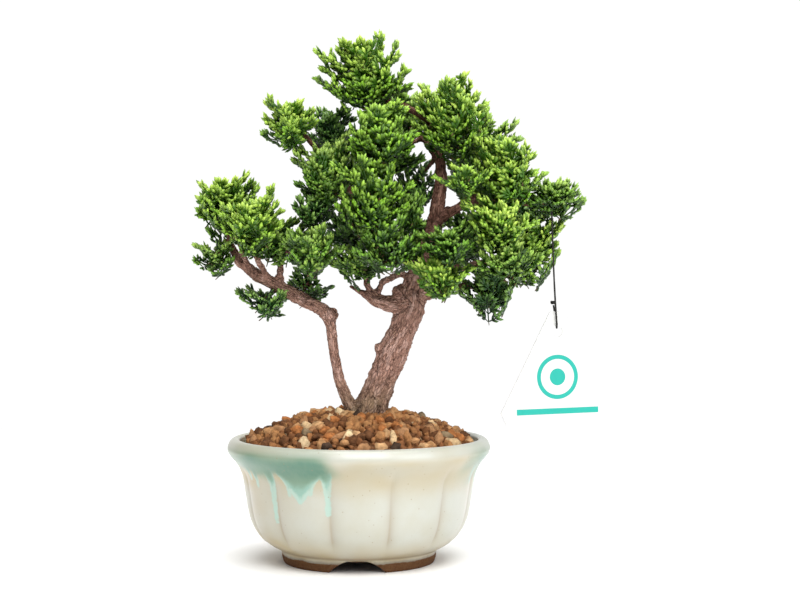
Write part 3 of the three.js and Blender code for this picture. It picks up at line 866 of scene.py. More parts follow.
@dataclass
class Pot:
    """The round pot with twelve lobes, a rolled lip and a notched foot ring.

    Spans of the glaze are in degrees from the pot's front towards its right, and heights in mm.
    """

    columns: int = 360
    lobes: int = 12
    lobe_turn: float = 2.2
    groove: float = 2.3 * MM
    groove_rise: float = 26 * MM
    groove_fall: Span = (66 * MM, 82 * MM)
    waist: float = 9.6 * MM
    recess: float = 9.0 * MM
    foot_radius: float = 59.5 * MM
    arch_half: float = 20.5 * MM
    arch_height: float = 9.6 * MM
    arch_count: int = 3
    outside: tuple[Span, ...] = (
        (57, 1.2), (57.8, 4.5), (58.2, 7.6), (58.8, 9.4), (60.8, 10.7), (66.5, 13.8), (73, 18.5), (79, 27),
        (82.6, 37), (85.2, 52), (87.4, 65), (91, 73.5), (96.1, 80), (98.2, 83.6), (98.4, 86.6), (96.8, 90.4),
        (94.4, 92.4), (91.8, 92.9), (89.6, 91.6), (88.9, 88.6), (87.4, 85.5),
    )
    inside: tuple[Span, ...] = (
        (80.5, 46), (69, 24.5), (45, 17), (13, 17), (13, 9), (48, 9), (48, 5), (48, 0.8), (48.8, 0),
        (56.2, 0),
    )
    run_top: float = 74.0
    runs: tuple[Run, ...] = (
        Run(-55.5, 4.0, 60, 2.0, 1.6), Run(-61, 3.5, 65.5, 1.7), Run(-44.8, 5.0, 36, 2.1, 3.5),
        Run(-27.5, 19.0, 52, 1.6, 1.15), Run(-33.5, 5.0, 57, 1.5, 1.2), Run(-21.8, 5.0, 58, 1.5, 1.2),
        Run(-13.8, 5.0, 44, 2.4, 3.0), Run(70, 4.5, 61, 1.6, 1.4), Run(84, 6.0, 50, 1.6, 1.5),
    )
    left_rise: Span = (-118, -98)
    left_fall: Span = (-18, -4)
    left_edge: float = 72.0
    right_rise: Span = (50, 70)
    right_fall: Span = (104, 118)
    right_edge: Span = (60, 76)
    right_strength: float = 0.8
    worn_lip: Span = (82, 91.5)
    bare_top: float = 7.1

    def arch(self, x: Points, y: Points, radius: Points) -> Points:
        """Say how high the foot ring is cut away at each place.

        Args:
            x: Places to the right of the axis.
            y: Places behind the axis.
            radius: Their distance from the axis.

        Returns:
            The notch's height there.
        """
        height = np.zeros_like(x)
        for i in range(self.arch_count):
            turn = 2 * math.pi * i / self.arch_count
            across = np.abs(x * math.cos(turn) + y * math.sin(turn)) / self.arch_half
            facing = x * math.sin(turn) - y * math.cos(turn) > radius * 0.5
            height = np.maximum(height, np.where(facing, 1 - np.minimum(across, 1) ** 2.1, 0))
        return height * self.arch_height

    def build(self) -> None:
        """Turn the section, press the lobes, cut the notches and paint the glaze masks."""
        section = np.concatenate([spline(np.array(self.outside) * MM, 5), np.array(self.inside) * MM])
        rows = len(section)
        angle = np.repeat(np.arange(self.columns) * 2 * math.pi / self.columns, rows)
        radius, height = np.tile(section, (self.columns, 1)).T
        inner = np.tile(np.arange(rows), self.columns) >= rows - len(self.inside)
        turn = (angle - math.radians(self.lobe_turn)) * self.lobes / (2 * math.pi)
        fold = np.abs(turn - np.round(turn)) * 2
        share = np.where(inner, 0, fade(height, (self.waist, self.groove_rise), self.groove_fall))
        radius = radius - self.groove * fold**3 * share
        x, y = radius * np.sin(angle), -radius * np.cos(angle)
        notch = self.arch(x, y, radius)
        in_foot = (height < self.waist) & (radius < self.foot_radius) & ~inner
        height = np.where(in_foot, height + notch * (1 - height / self.waist), height)
        under = inner & (height < self.recess - 0.1 * MM)
        notch = np.minimum(notch, self.recess - 0.7 * MM)
        height = np.where(under, height + notch * (1 - height / self.recess), height)
        faces = [
            (c * rows + r, (c + 1) % self.columns * rows + r,
             (c + 1) % self.columns * rows + (r + 1) % rows, c * rows + (r + 1) % rows)
            for c in range(self.columns)
            for r in range(rows)
        ]
        piece = new_object("glazed_pot", np.stack([x + AXIS.x, y + AXIS.y, height], axis=1), faces)
        self.paint(piece.data, np.degrees(angle), height / MM, radius / MM, fold * np.sqrt(share), inner)
        keep(piece, "glaze", GlazedStoneware().build(), "pot")

    def in_runs(self, angle: Points, z: Points, radius: Points) -> Points:
        """Work out how far inside a run of glaze each place lies.

        Args:
            angle: Degrees round the pot.
            z: Heights over the table, in mm.
            radius: Distances from the axis, in mm.

        Returns:
            How far in, in mm, and less than none outside.
        """
        reach = np.full_like(z, -9.0)
        for run in self.runs:
            share = np.clip((z - run.end) / (self.run_top - run.end), 0, 1)
            half = run.tip + (run.half - run.tip) * share**run.taper
            across = np.radians(angle - run.angle) * radius
            reach = np.maximum(reach, half - np.hypot(across, np.maximum(run.end + run.tip - z, 0)))
        return reach

    def paint(
        self, mesh: Mesh, angle: Points, z: Points, radius: Points, fold: Points, inner: Points
    ) -> None:
        """Lay painted shade (under the lip, low down, on the left and in the creases), the celadon and the
        bare foot on the pot as masks, and its runs as how far in.

        Args:
            mesh: The pot's mesh.
            angle: Degrees round the pot, from its front towards its right.
            z: Heights over the table, in mm.
            radius: Distances from the axis, in mm.
            fold: One in the creases, none on the lobes.
            inner: True inside the pot and under its foot.
        """
        angle = (angle + 180) % 360 - 180
        wave, ripple = (
            np.array([noise.noise(Vector((a * wide, h * high, layer))) for a, h in zip(angle, z)])
            for wide, high, layer in ((0.07, 0.07, 3.0), (0.45, 0.3, 7.0))
        )

        def wavy(span: Span, by: float) -> list[Points]:
            """Let both ends of a span waver."""
            return [end + by * wave for end in span]

        reach = self.in_runs(angle, z, radius)
        edge = self.left_edge + 4 * wave + 1.5 * ripple - 1.1 * np.clip(reach, 0, 7)
        left = fade(angle, wavy(self.left_rise, 6), wavy(self.left_fall, 5))
        left = left * smoothstep(z, edge - 3, edge + 5)
        right = fade(angle, wavy(self.right_rise, 8), self.right_fall)
        right = right * smoothstep(z, *wavy(self.right_edge, 8))
        worn = 1 - 0.75 * smoothstep(z, self.worn_lip[0] + 3 * wave, self.worn_lip[1])
        patch = np.maximum(left, self.right_strength * right) * worn
        patch = patch * (1 - 0.4 * smoothstep(-angle, 52, 80) * (angle < 0))
        bare_top = self.bare_top - 0.6 * np.cos(np.radians(angle)) + 1.0 * wave + 0.5 * ripple
        foot = radius < self.foot_radius / MM + 1
        low = 1 - smoothstep(z, 11, 30)
        # Painted shade: warm beige under the lip, low on the body and down the left side.
        warm = 0.8 * fade(z, (52, 72), (82, 88)) + 0.85 * low + 0.5 * smoothstep(-angle, 15, 60)
        # Painted shade: darker in the lobes' creases and in the angle over the foot.
        crease = (0.26 * fold**22 + 0.34 * fold**7) * (0.4 + 0.6 * (1 - smoothstep(z, 30, 74)))
        shade_over_foot = 0.8 * np.clip(1 - np.abs(z - 10.6) / 1.6, 0, 1) * (radius > 57.5)
        deep = patch * fade(z, (66, 78), (80 + 3 * wave, 89)) * (0.8 + 0.9 * wave)
        for name, values in (
            ("warm", warm * (0.8 + 0.6 * wave)), ("crease", crease + shade_over_foot), ("celadon", patch),
            ("deep", deep),
            ("bare", np.where(inner, 1.0, (1 - smoothstep(z, bare_top - 0.35, bare_top + 0.35)) * foot)),
            ("thin", 0.75 * foot * (1 - smoothstep(z, bare_top + 0.6, bare_top + 2.4))),
        ):
            store(mesh, name, np.clip(values, 0, 1))
        reach = np.minimum(reach, (77 - z) * 0.35)
        store(mesh, "drip", reach)
        store(mesh, "core", reach - 3.2 * (1 - smoothstep(z, 50, 72)))


# Wood


@dataclass
class Wood:
    """Two trunks and their limbs, with fissured bark that runs along each of them.

    Each limb is a line of places with the wood's radius there, in mm from the pot's axis.
    """

    voxel: float = 1.1 * MM
    smoothing: int = 5
    fissure: float = 2.6 * MM
    flake: float = 2.3 * MM
    knob: float = 5.5 * MM
    grain: float = 1.9 * MM
    stretch: float = 2.4
    depth: float = 1.35 * MM
    steepest: float = 0.24
    young_from: float = 205 * MM
    young_over: float = 45 * MM
    youth: float = 0.75
    thin: float = 1.0 * MM
    thicker: float = 2.8 * MM
    twigs_per_pad: int = 6
    twig_radius: float = 1.15 * MM
    twig_end: float = 0.5 * MM
    twig_sides: int = 5
    forks: tuple[Span, ...] = ((0.35, 1.0), (0.3, 0.7))
    seed: int = 3
    limbs: tuple[tuple[tuple[float, float, float, float], ...], ...] = (
        ((5, 0, 92.5, 16), (5.5, 0, 104.5, 16.5), (8, 0, 112.5, 13.6), (11.5, 0, 121.5, 11.6),
         (19.5, 0, 142.5, 10.5), (25.5, 0, 157.5, 11.2), (32, 0, 172.5, 9.8), (38, 0, 189.5, 10.8),
         (42.5, 1.5, 209.5, 9), (52, 3, 232.5, 7), (58, 4, 259.5, 5.8), (62, 4, 285.5, 4.8),
         (60, 3, 312.5, 3.8), (46, 2, 334.5, 3.1), (8, 0, 354.5, 2.2)),
        ((-2, 0, 92.5, 9), (-4, 0, 106.5, 7), (-7, 0, 117.5, 4.9), (-15, -1, 135.5, 4.2),
         (-19.3, -1, 159.5, 4), (-21.6, -1, 178.5, 4.4), (-28, -1, 189, 5.3), (-42, 0, 195.5, 5.2),
         (-61, 0, 206, 5), (-77, 0, 214.5, 4.6), (-90, 0, 224.5, 3.8), (-97, 0, 238.5, 2.9),
         (-97, 0, 262.5, 2.2)),
        ((37, 0, 192.5, 6), (24, -1, 192.5, 7), (13, -2, 195, 5.6), (2, -3, 201.5, 2.6),
         (-7, -3, 206.5, 1.5)),
        ((45, 1, 199.5, 5.4), (56, 1, 200.5, 4.2), (68, 2, 205.5, 3.6), (84, 5, 206.5, 3),
         (97, 8, 203.5, 2.4)),
        ((49, 2, 224.5, 5), (64, 0, 219.5, 3.8), (80, -2, 220.5, 3.4), (96, -4, 224.5, 3),
         (112, -5, 231.5, 2.4)),
        ((57, 4, 254.5, 4.4), (74, 2, 264.5, 3.6), (90, 0, 278.5, 3), (102, -3, 293.5, 2.4)),
        ((45, 2, 216.5, 5), (31, 0, 232.5, 4.4), (16, -2, 246.5, 4), (2, -4, 264.5, 3.6),
         (-12, 0, 284.5, 3.2), (-26, 0, 302.5, 2.8), (-42, 0, 320.5, 2.2)),
    )

    def guides(self) -> list[tuple[Vector, Vector, Vector, Vector, float, float]]:
        """Lay a close row of guide places, each with its axes, along every limb.

        Returns:
            For each its place, two axes across, the axis along, how far along it lies and the limb's radius.
        """
        places = []
        for limb in self.limbs:
            line = spline(np.array(limb) * MM, 8)
            line[:, 0] += AXIS.x
            side, run = Vector((0, 1, 0)), 0.0
            for (*here, radius), (*there, _) in zip(line, line[1:]):
                here, there = Vector(here), Vector(there)
                along = (there - here).normalized()
                side = (side - along * side.dot(along)).normalized()
                places.append((here, side, side.cross(along), along, run, float(radius)))
                run += (there - here).length
        return places

    def relief(self, spot: Vector, point: Vector) -> Span:
        """Work out how far the bark stands out, from 0 in a fissure to 1 on a flake.

        Args:
            spot: The place in the limb's own axes, drawn together along it.
            point: The place itself.

        Returns:
            The height of the bark there, and the number that its flake drew.
        """
        wander = noise.noise(spot / self.fissure * 0.5) * 0.9
        crack = abs(noise.noise(spot / self.fissure + Vector((wander, wander, 0.0))))
        gaps, seeds = noise.voronoi(spot / self.flake + Vector((wander * 0.4, 0.0, wander)))
        drawn = noise.cell(seeds[0] * 37.0)
        edge = min(1.0, (gaps[1] - gaps[0]) / 0.18)
        knobs = 0.15 * noise.noise(point / self.grain) + 0.35 * noise.noise(point / self.knob)
        return min(1.0, crack / 0.2) * 0.4 + 0.3 * edge + 0.3 * drawn * edge + knobs, drawn

    def build(self) -> None:
        """Round the CAD wood off, raise its bark and colour it by age."""
        copy = node_copy("trunk_and_branches")
        copy.modifiers.new("Round", "REMESH").voxel_size = self.voxel
        smooth = copy.modifiers.new("Soften", "SMOOTH")
        smooth.factor, smooth.iterations = 0.5, self.smoothing
        piece = baked(copy, "bark_covered_wood")
        places = self.guides()
        nearest = lookup([place[0] for place in places])
        spots, ways = corner_table(piece.data, "co"), corner_table(piece.data, "normal")
        rows = []
        for spot in spots:
            point = Vector(spot)
            middle, side, other, along, run, thick = places[nearest.find(point)[1]]
            away = point - middle
            radius = min(thick, away.length)
            axes = Vector((away.dot(side), away.dot(other), run + away.dot(along)))
            bark, drawn = self.relief(Vector((axes.x, axes.y, axes.z / self.stretch)), point)
            high = min(1.0, max(0.0, (point.z - self.young_from) / self.young_over))
            age = min(1.0, max(0.0, (radius - self.thin) / self.thicker)) * (1 - self.youth * high)
            rows.append((bark, drawn, age, (bark - 0.5) * min(self.depth, self.steepest * radius), *axes))
        relief, flake, age, lift, *grain = np.array(rows).T
        piece.data.vertices.foreach_set("co", (spots + ways * lift[:, None]).ravel())
        masks = {"relief": relief, "flake": flake, "age": age, "grain": np.stack(grain, axis=1)}
        for name, values in masks.items():
            store(piece.data, name, values)
        piece.data.shade_smooth()
        twigs = self.twigs(spots)
        with bpy.context.temp_override(active_object=piece, selected_editable_objects=[piece, twigs]):
            bpy.ops.object.join()
        keep(piece, "bark", Bark().build(), "trunk_and_branches")

    def twigs(self, wood: Points) -> Object:
        """Grow red, forked twigs from the wood into every pad of foliage.

        Args:
            wood: Places on the wood's surface.

        Returns:
            The twigs, with the same attributes as the bark.
        """
        draw, nearest, sides = random.Random(self.seed), lookup(wood), self.twig_sides
        corners, faces, grain = [], [], []
        for node in PADS:
            low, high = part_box(node)
            middle, half = (low + high) / 2, (high - low) / 2
            for _ in range(self.twigs_per_pad):
                start = None
                for spread, slim in self.forks:
                    way = Vector((draw.gauss(0, 1), draw.gauss(0, 1), draw.gauss(0, 0.7))).normalized()
                    end = middle + way * half * draw.uniform(0.1, spread)
                    start = start or nearest.find(middle.lerp(end, 0.3) - Vector((0, 0, half.z * 0.7)))[0]
                    reach = (end - start).length
                    stray = Vector((draw.uniform(-1, 1), draw.uniform(-1, 1), draw.uniform(-1, 0.2)))
                    path = spline(np.array([start, start.lerp(end, 0.5) + stray * 0.16 * reach, end]), 3)
                    start = Vector(path[3])
                    radii = np.linspace(self.twig_radius, self.twig_end, len(path)) * slim
                    first = sum(len(ring) for ring in corners)
                    corners.append(sweep(path, np.repeat(radii[:, None], sides, axis=1)))
                    faces += [tuple(first + k for k in face) for face in tube_faces(len(path), sides)]
                    run = np.repeat(np.linspace(0, reach, len(path)), sides)
                    grain.append(np.stack([np.tile(np.arange(sides) * MM, len(path)), 0 * run, run], axis=1))
        twigs = new_object("twigs", np.concatenate(corners), faces)
        for name, value in (("relief", 0.75), ("flake", 0.15), ("age", 0.0)):
            store(twigs.data, name, np.full(len(twigs.data.vertices), value))
        store(twigs.data, "grain", np.concatenate(grain))
        return twigs


# Soil, gravel and drain net


@dataclass(frozen=True)
class Layer:
    """One size of grit: the stones' gap, sizes and depth in mm, and the number and detail of their kinds."""

    name: str
    gap: float
    smallest: float
    largest: float
    sink: float
    kinds: int
    detail: int


@dataclass
class Ground:
    """What fills the pot: soil, a cover of mixed grit and the net over the drain hole."""

    layers: tuple[Layer, ...] = (
        Layer("coarse_grit", 5.0, 4.4, 11.5, 1.7, 8, 2), Layer("fine_grit", 4.2, 2.6, 4.8, 2.4, 6, 1),
    )
    bed_step: float = 3.0 * MM
    bed_edge: float = 87.5 * MM
    bed_rays: int = 64
    bed_smoothing: int = 4
    facets: int = 7
    facet_depth: float = 0.34
    shape: tuple[Span, ...] = ((0.85, 1.4), (0.75, 1.1), (0.6, 0.9))
    seed: int = 11

    def stones(self, layer: Layer, draw: random.Random) -> Collection:
        """Make a few unlike stones of unit size for the node tree to choose from.

        Args:
            layer: What grit they are for.
            draw: The seeded draw.

        Returns:
            The collection, kept out of the scene.
        """
        kinds = bpy.data.collections.new(layer.name)
        for i in range(layer.kinds):
            work = bmesh.new()
            bmesh.ops.create_icosphere(work, subdivisions=layer.detail, radius=0.5)
            shape = Vector([draw.uniform(*span) for span in self.shape])
            cuts = [Vector([draw.gauss(0, 1) for _ in range(3)]).normalized() for _ in range(self.facets)]
            for corner in work.verts:
                lump = 1 + 0.5 * noise.noise(corner.co * 2.6 + Vector((i * 9.0, 0, 0)))
                lump += 0.35 * noise.noise(corner.co * 6.5 + Vector((0, i * 9.0, 0)))
                corner.co *= lump
                for cut in cuts:
                    corner.co -= cut * max(0.0, corner.co.dot(cut) - self.facet_depth)
                corner.co = corner.co * shape
            mesh = to_mesh(work, f"{layer.name}_{i}")
            mesh.shade_smooth()
            kinds.objects.link(bpy.data.objects.new(mesh.name, mesh))
        return kinds

    def bed(self) -> Object:
        """Lay a smooth bed over the CAD gravel, so that the stones lie evenly.

        Returns:
            The bed, open where the trunks come through.
        """
        solid = node_copy("gravel")
        mesh = solid.data
        probe = BVHTree.FromPolygons([v.co for v in mesh.vertices], [p.vertices for p in mesh.polygons])
        bpy.data.objects.remove(solid)
        radii = np.arange(self.bed_step, self.bed_edge, self.bed_step)
        angles = np.linspace(0, 2 * np.pi, self.bed_rays, endpoint=False)
        east = AXIS.x + np.outer(radii, np.cos(angles))
        north = AXIS.y + np.outer(radii, np.sin(angles))
        high = np.full(east.shape, np.nan)
        for i, place in np.ndenumerate(east):
            spot = probe.ray_cast(Vector((place, north[i], 0.2)), Vector((0, 0, -1)))[0]
            high[i] = spot.z if spot else np.nan
        bare = np.isnan(high)
        for _ in range(self.bed_smoothing):
            padded = np.vstack([high[:1], high, high[-1:]])
            beside = [np.roll(high, way, axis=1) for way in (1, -1)]
            near = np.stack([high, padded[:-2], padded[2:], *beside])
            high = np.where(bare, np.nan, np.nanmean(np.where(np.isnan(near), high, near), axis=0))
        faces = []
        for i in range(len(radii) - 1):
            for k in range(self.bed_rays):
                after = (k + 1) % self.bed_rays
                corners = [(i, k), (i + 1, k), (i + 1, after), (i, after)]
                if not any(bare[corner] for corner in corners):
                    faces.append(tuple(a * self.bed_rays + b for a, b in corners))
        points = np.stack([east, north, np.nan_to_num(high)], axis=-1).reshape(-1, 3)
        return new_object("gravel_bed", points, faces)

    def tree(self) -> NodeTree:
        """Build the node tree that strews stones over whatever faces up.

        Returns:
            The tree. Each stone is turned at random and keeps the number that it drew.
        """
        tree, node, given = start_tree(
            "Strew stones", "Ground", Gap="Float", Smallest="Float", Largest="Float", Sink="Float",
            Seed="Int", Stones="Collection", Finish="Material",
        )
        seed = given["Seed"]
        upward = node("ShaderNodeSeparateXYZ", {0: node("GeometryNodeInputNormal")}).outputs[2]
        faces_up = node("FunctionNodeCompare", {0: upward, 1: 0.05}, operation="GREATER_THAN")
        inputs = {"Mesh": given["Ground"], "Selection": faces_up, "Distance Min": given["Gap"],
                  "Density Max": 400000.0, "Seed": seed}
        strewn = node("GeometryNodeDistributePointsOnFaces", inputs, distribute_method="POISSON")
        sink = node("ShaderNodeCombineXYZ", {2: given["Sink"]})
        strewn = node("GeometryNodeSetPosition", {"Geometry": strewn, "Offset": sink})
        picked = node("FunctionNodeRandomValue", {"Seed": seed}, data_type="FLOAT")
        inputs = {"Geometry": strewn, "Name": "draw", "Value": picked}
        strewn = node("GeometryNodeStoreNamedAttribute", inputs, data_type="FLOAT", domain="POINT")
        inputs = {0: (0.0, 0.0, 0.0), 1: (6.3, 6.3, 6.3), "Seed": seed}
        turn = node("FunctionNodeRandomValue", inputs, data_type="FLOAT_VECTOR")
        inputs = {2: given["Smallest"], 3: given["Largest"], "Seed": seed}
        size = node("FunctionNodeRandomValue", inputs, data_type="FLOAT")
        inputs = {0: given["Stones"], "Separate Children": True, "Reset Children": True}
        kinds = node("GeometryNodeCollectionInfo", inputs)
        inputs = {"Points": strewn, "Instance": kinds, "Pick Instance": True, "Rotation": turn, "Scale": size}
        end_tree(node, node("GeometryNodeInstanceOnPoints", inputs), given["Finish"])
        return tree

    def build(self) -> None:
        """Strew the coarse and the fine grit, and dress soil and net."""
        draw = random.Random(self.seed)
        tree, finish = self.tree(), MixedStone().build()
        for i, layer in enumerate(self.layers):
            sizes = {"Gap": layer.gap * MM, "Smallest": layer.smallest * MM, "Largest": layer.largest * MM,
                     "Sink": -layer.sink * MM, "Seed": self.seed + i, "Stones": self.stones(layer, draw),
                     "Finish": finish}
            keep(grow(self.bed(), tree, sizes, layer.name), "gravel", finish, "gravel")
        dress("soil", SOIL.build())
        dress("drain_mesh", NETTING.build())


# Foliage


class Tone(Enum):
    """How light a pad's green is, as the record's slots name it: one leaf in lighter and darker copies,
    painted light and shade.
    """

    BRIGHT = "foliage_bright"
    MIDDLE = "foliage_middle"
    DARK = "foliage_dark"


# Lit and shaded copies of one scale leaf: their lighter and darker greens are painted light and shade.
LEAVES = {
    Tone.BRIGHT: ScaleLeaf("waxy_scale_leaves_bright"),
    Tone.MIDDLE: ScaleLeaf("waxy_scale_leaves_middle", body="#345C0C", tip="#6EA42C", sunlit="#AECC5E"),
    Tone.DARK: ScaleLeaf(
        "waxy_scale_leaves_dark", shade="#122A0E", body="#224A16", tip="#568A30", sunlit="#98C05C",
    ),
}


@dataclass
class Spray:
    """One fan of leafy fingers in mm: a rib with paired side branches, cupped a little, on a thin stem."""

    draw: random.Random
    length: float = 28.0
    width: float = 3.15
    finger_length: Span = (6.6, 9.4)
    branches: tuple[tuple[float, float, float, float], ...] = (
        (0.12, 58, 12, 0.85), (0.40, 47, 12, 0.95), (0.66, 35, 8.5, 1.0),
    )
    points: list[Place] = field(default_factory=list)
    faces: Faces = field(default_factory=list)
    tips: list[float] = field(default_factory=list)

    def corner(self, x: float, y: float, z: float, tip: float) -> None:
        """Keep a corner in metres, lifted as the fan's sides and tips curve up, and how new it is."""
        self.points.append((x * MM, y * MM, (z + 0.009 * x * x + 0.004 * max(y, 0.0) ** 2) * MM))
        self.tips.append(tip)

    def shoot(self, start: Span, heading: float, rings: tuple[Place, ...], thickness: float = 0.7,
              rise: float = 0.0, sides: int = 4) -> None:
        """Add one closed shoot.

        Args:
            start: Where it leaves the rib.
            heading: Which way it points, in degrees from straight ahead.
            rings: How far along, how wide and how new each of its rings is; its ends come to a point.
            thickness: Its thickness as a share of its width.
            rise: How far it lifts off the fan for each step along.
            sides: How many sides it has.
        """
        ahead = (math.sin(math.radians(heading)), math.cos(math.radians(heading)))
        first = len(self.points)
        for run, width, tip in rings:
            middle = (start[0] + ahead[0] * run, start[1] + ahead[1] * run)
            for k in range(sides if width else 1):
                turn = 2 * math.pi * k / sides
                across, up = math.cos(turn) * width / 2, math.sin(turn) * width / 2 * thickness
                x, y = middle[0] + ahead[1] * across, middle[1] - ahead[0] * across
                self.corner(x, y, up + rise * run, tip)
        last = len(self.points) - 1
        for k in range(sides):
            after = (k + 1) % sides
            self.faces.append((first, first + 1 + after, first + 1 + k))
            self.faces.append((last, last - sides + k, last - sides + after))
            for low in range(first + 1, last - sides, sides):
                high = low + sides
                self.faces.append((low + k, low + after, high + after, high + k))

    def finger(self, start: Span, heading: float, length: float, newness: float) -> None:
        """Add one blunt, leafy shoot.

        Args:
            start: Where it leaves its branch.
            heading: Which way it points, in degrees from straight ahead.
            length: How long it is.
            newness: How new its tip is.
        """
        wide = self.width * self.draw.uniform(0.85, 1.15)
        newness *= self.draw.choice((0.6, 0.85, 1.0, 1.0))
        rings = ((0, 0, 0.1 * newness), (length * 0.25, wide * 0.8, 0.5 * newness),
                 (length * 0.66, wide, 0.9 * newness), (length, 0, newness))
        self.shoot(start, heading + self.draw.uniform(-7, 7), rings, rise=self.draw.uniform(-0.3, 0.4))

    def branch(self, start: Span, heading: float, length: float, newness: float) -> None:
        """Add one side branch with its own pairs of fingers and one at its end.

        Args:
            start: Where it leaves the rib.
            heading: Which way it points, in degrees from straight ahead.
            length: How long it is.
            newness: How new its end is.
        """
        draw = self.draw
        ahead = (math.sin(math.radians(heading)), math.cos(math.radians(heading)))
        rings = ((0, 0, 0.0), (1.5, 1.3, 0.1), (length * 0.7, 1.5, 0.4 * newness),
                 (length * 0.85, 0, 0.5 * newness))
        self.shoot(start, heading, rings)
        for share in (0.34, 0.7):
            for way in (-1, 1):
                run = length * (share + draw.uniform(-0.05, 0.05))
                spot = (start[0] + ahead[0] * run, start[1] + ahead[1] * run)
                reach = draw.uniform(*self.finger_length) * (1.15 - 0.3 * share)
                self.finger(spot, heading + way * draw.uniform(32, 46), reach, newness * (0.4 + 0.6 * share))
        spot = (start[0] + ahead[0] * length * 0.68, start[1] + ahead[1] * length * 0.68)
        self.finger(spot, heading, length * 0.32 + 3.0, newness)

    def build(self, name: str) -> Object:
        """Grow the fan.

        Args:
            name: The object's name.

        Returns:
            The fan, pointing along Y with its upper face along Z, kept out of the scene.
        """
        draw, length = self.draw, self.length
        self.shoot((0, -1), 0, ((0, 0, -1.0), (0.8, 0.9, -1.0), (3.5, 1.0, -0.35), (5, 0, 0.0)), 1.0)
        self.shoot((0, 1), 0, ((0, 0, 0.0), (2, 1.5, 0.1), (length * 0.6, 1.8, 0.2), (length * 0.75, 0, 0.3)))
        for share, spread, reach, newness in self.branches:
            for way in (-1, 1):
                start = (0.0, length * share + draw.uniform(-1.2, 1.2))
                heading = way * spread * draw.uniform(0.85, 1.15)
                self.branch(start, heading, reach * draw.uniform(0.85, 1.15), newness)
        self.branch((0.0, length * 0.62), draw.uniform(-6, 6), length * 0.38, 1.0)
        piece = new_object(name, np.array(self.points), self.faces)
        store(piece.data, "tip", np.array(self.tips))
        bpy.context.collection.objects.unlink(piece)
        return piece


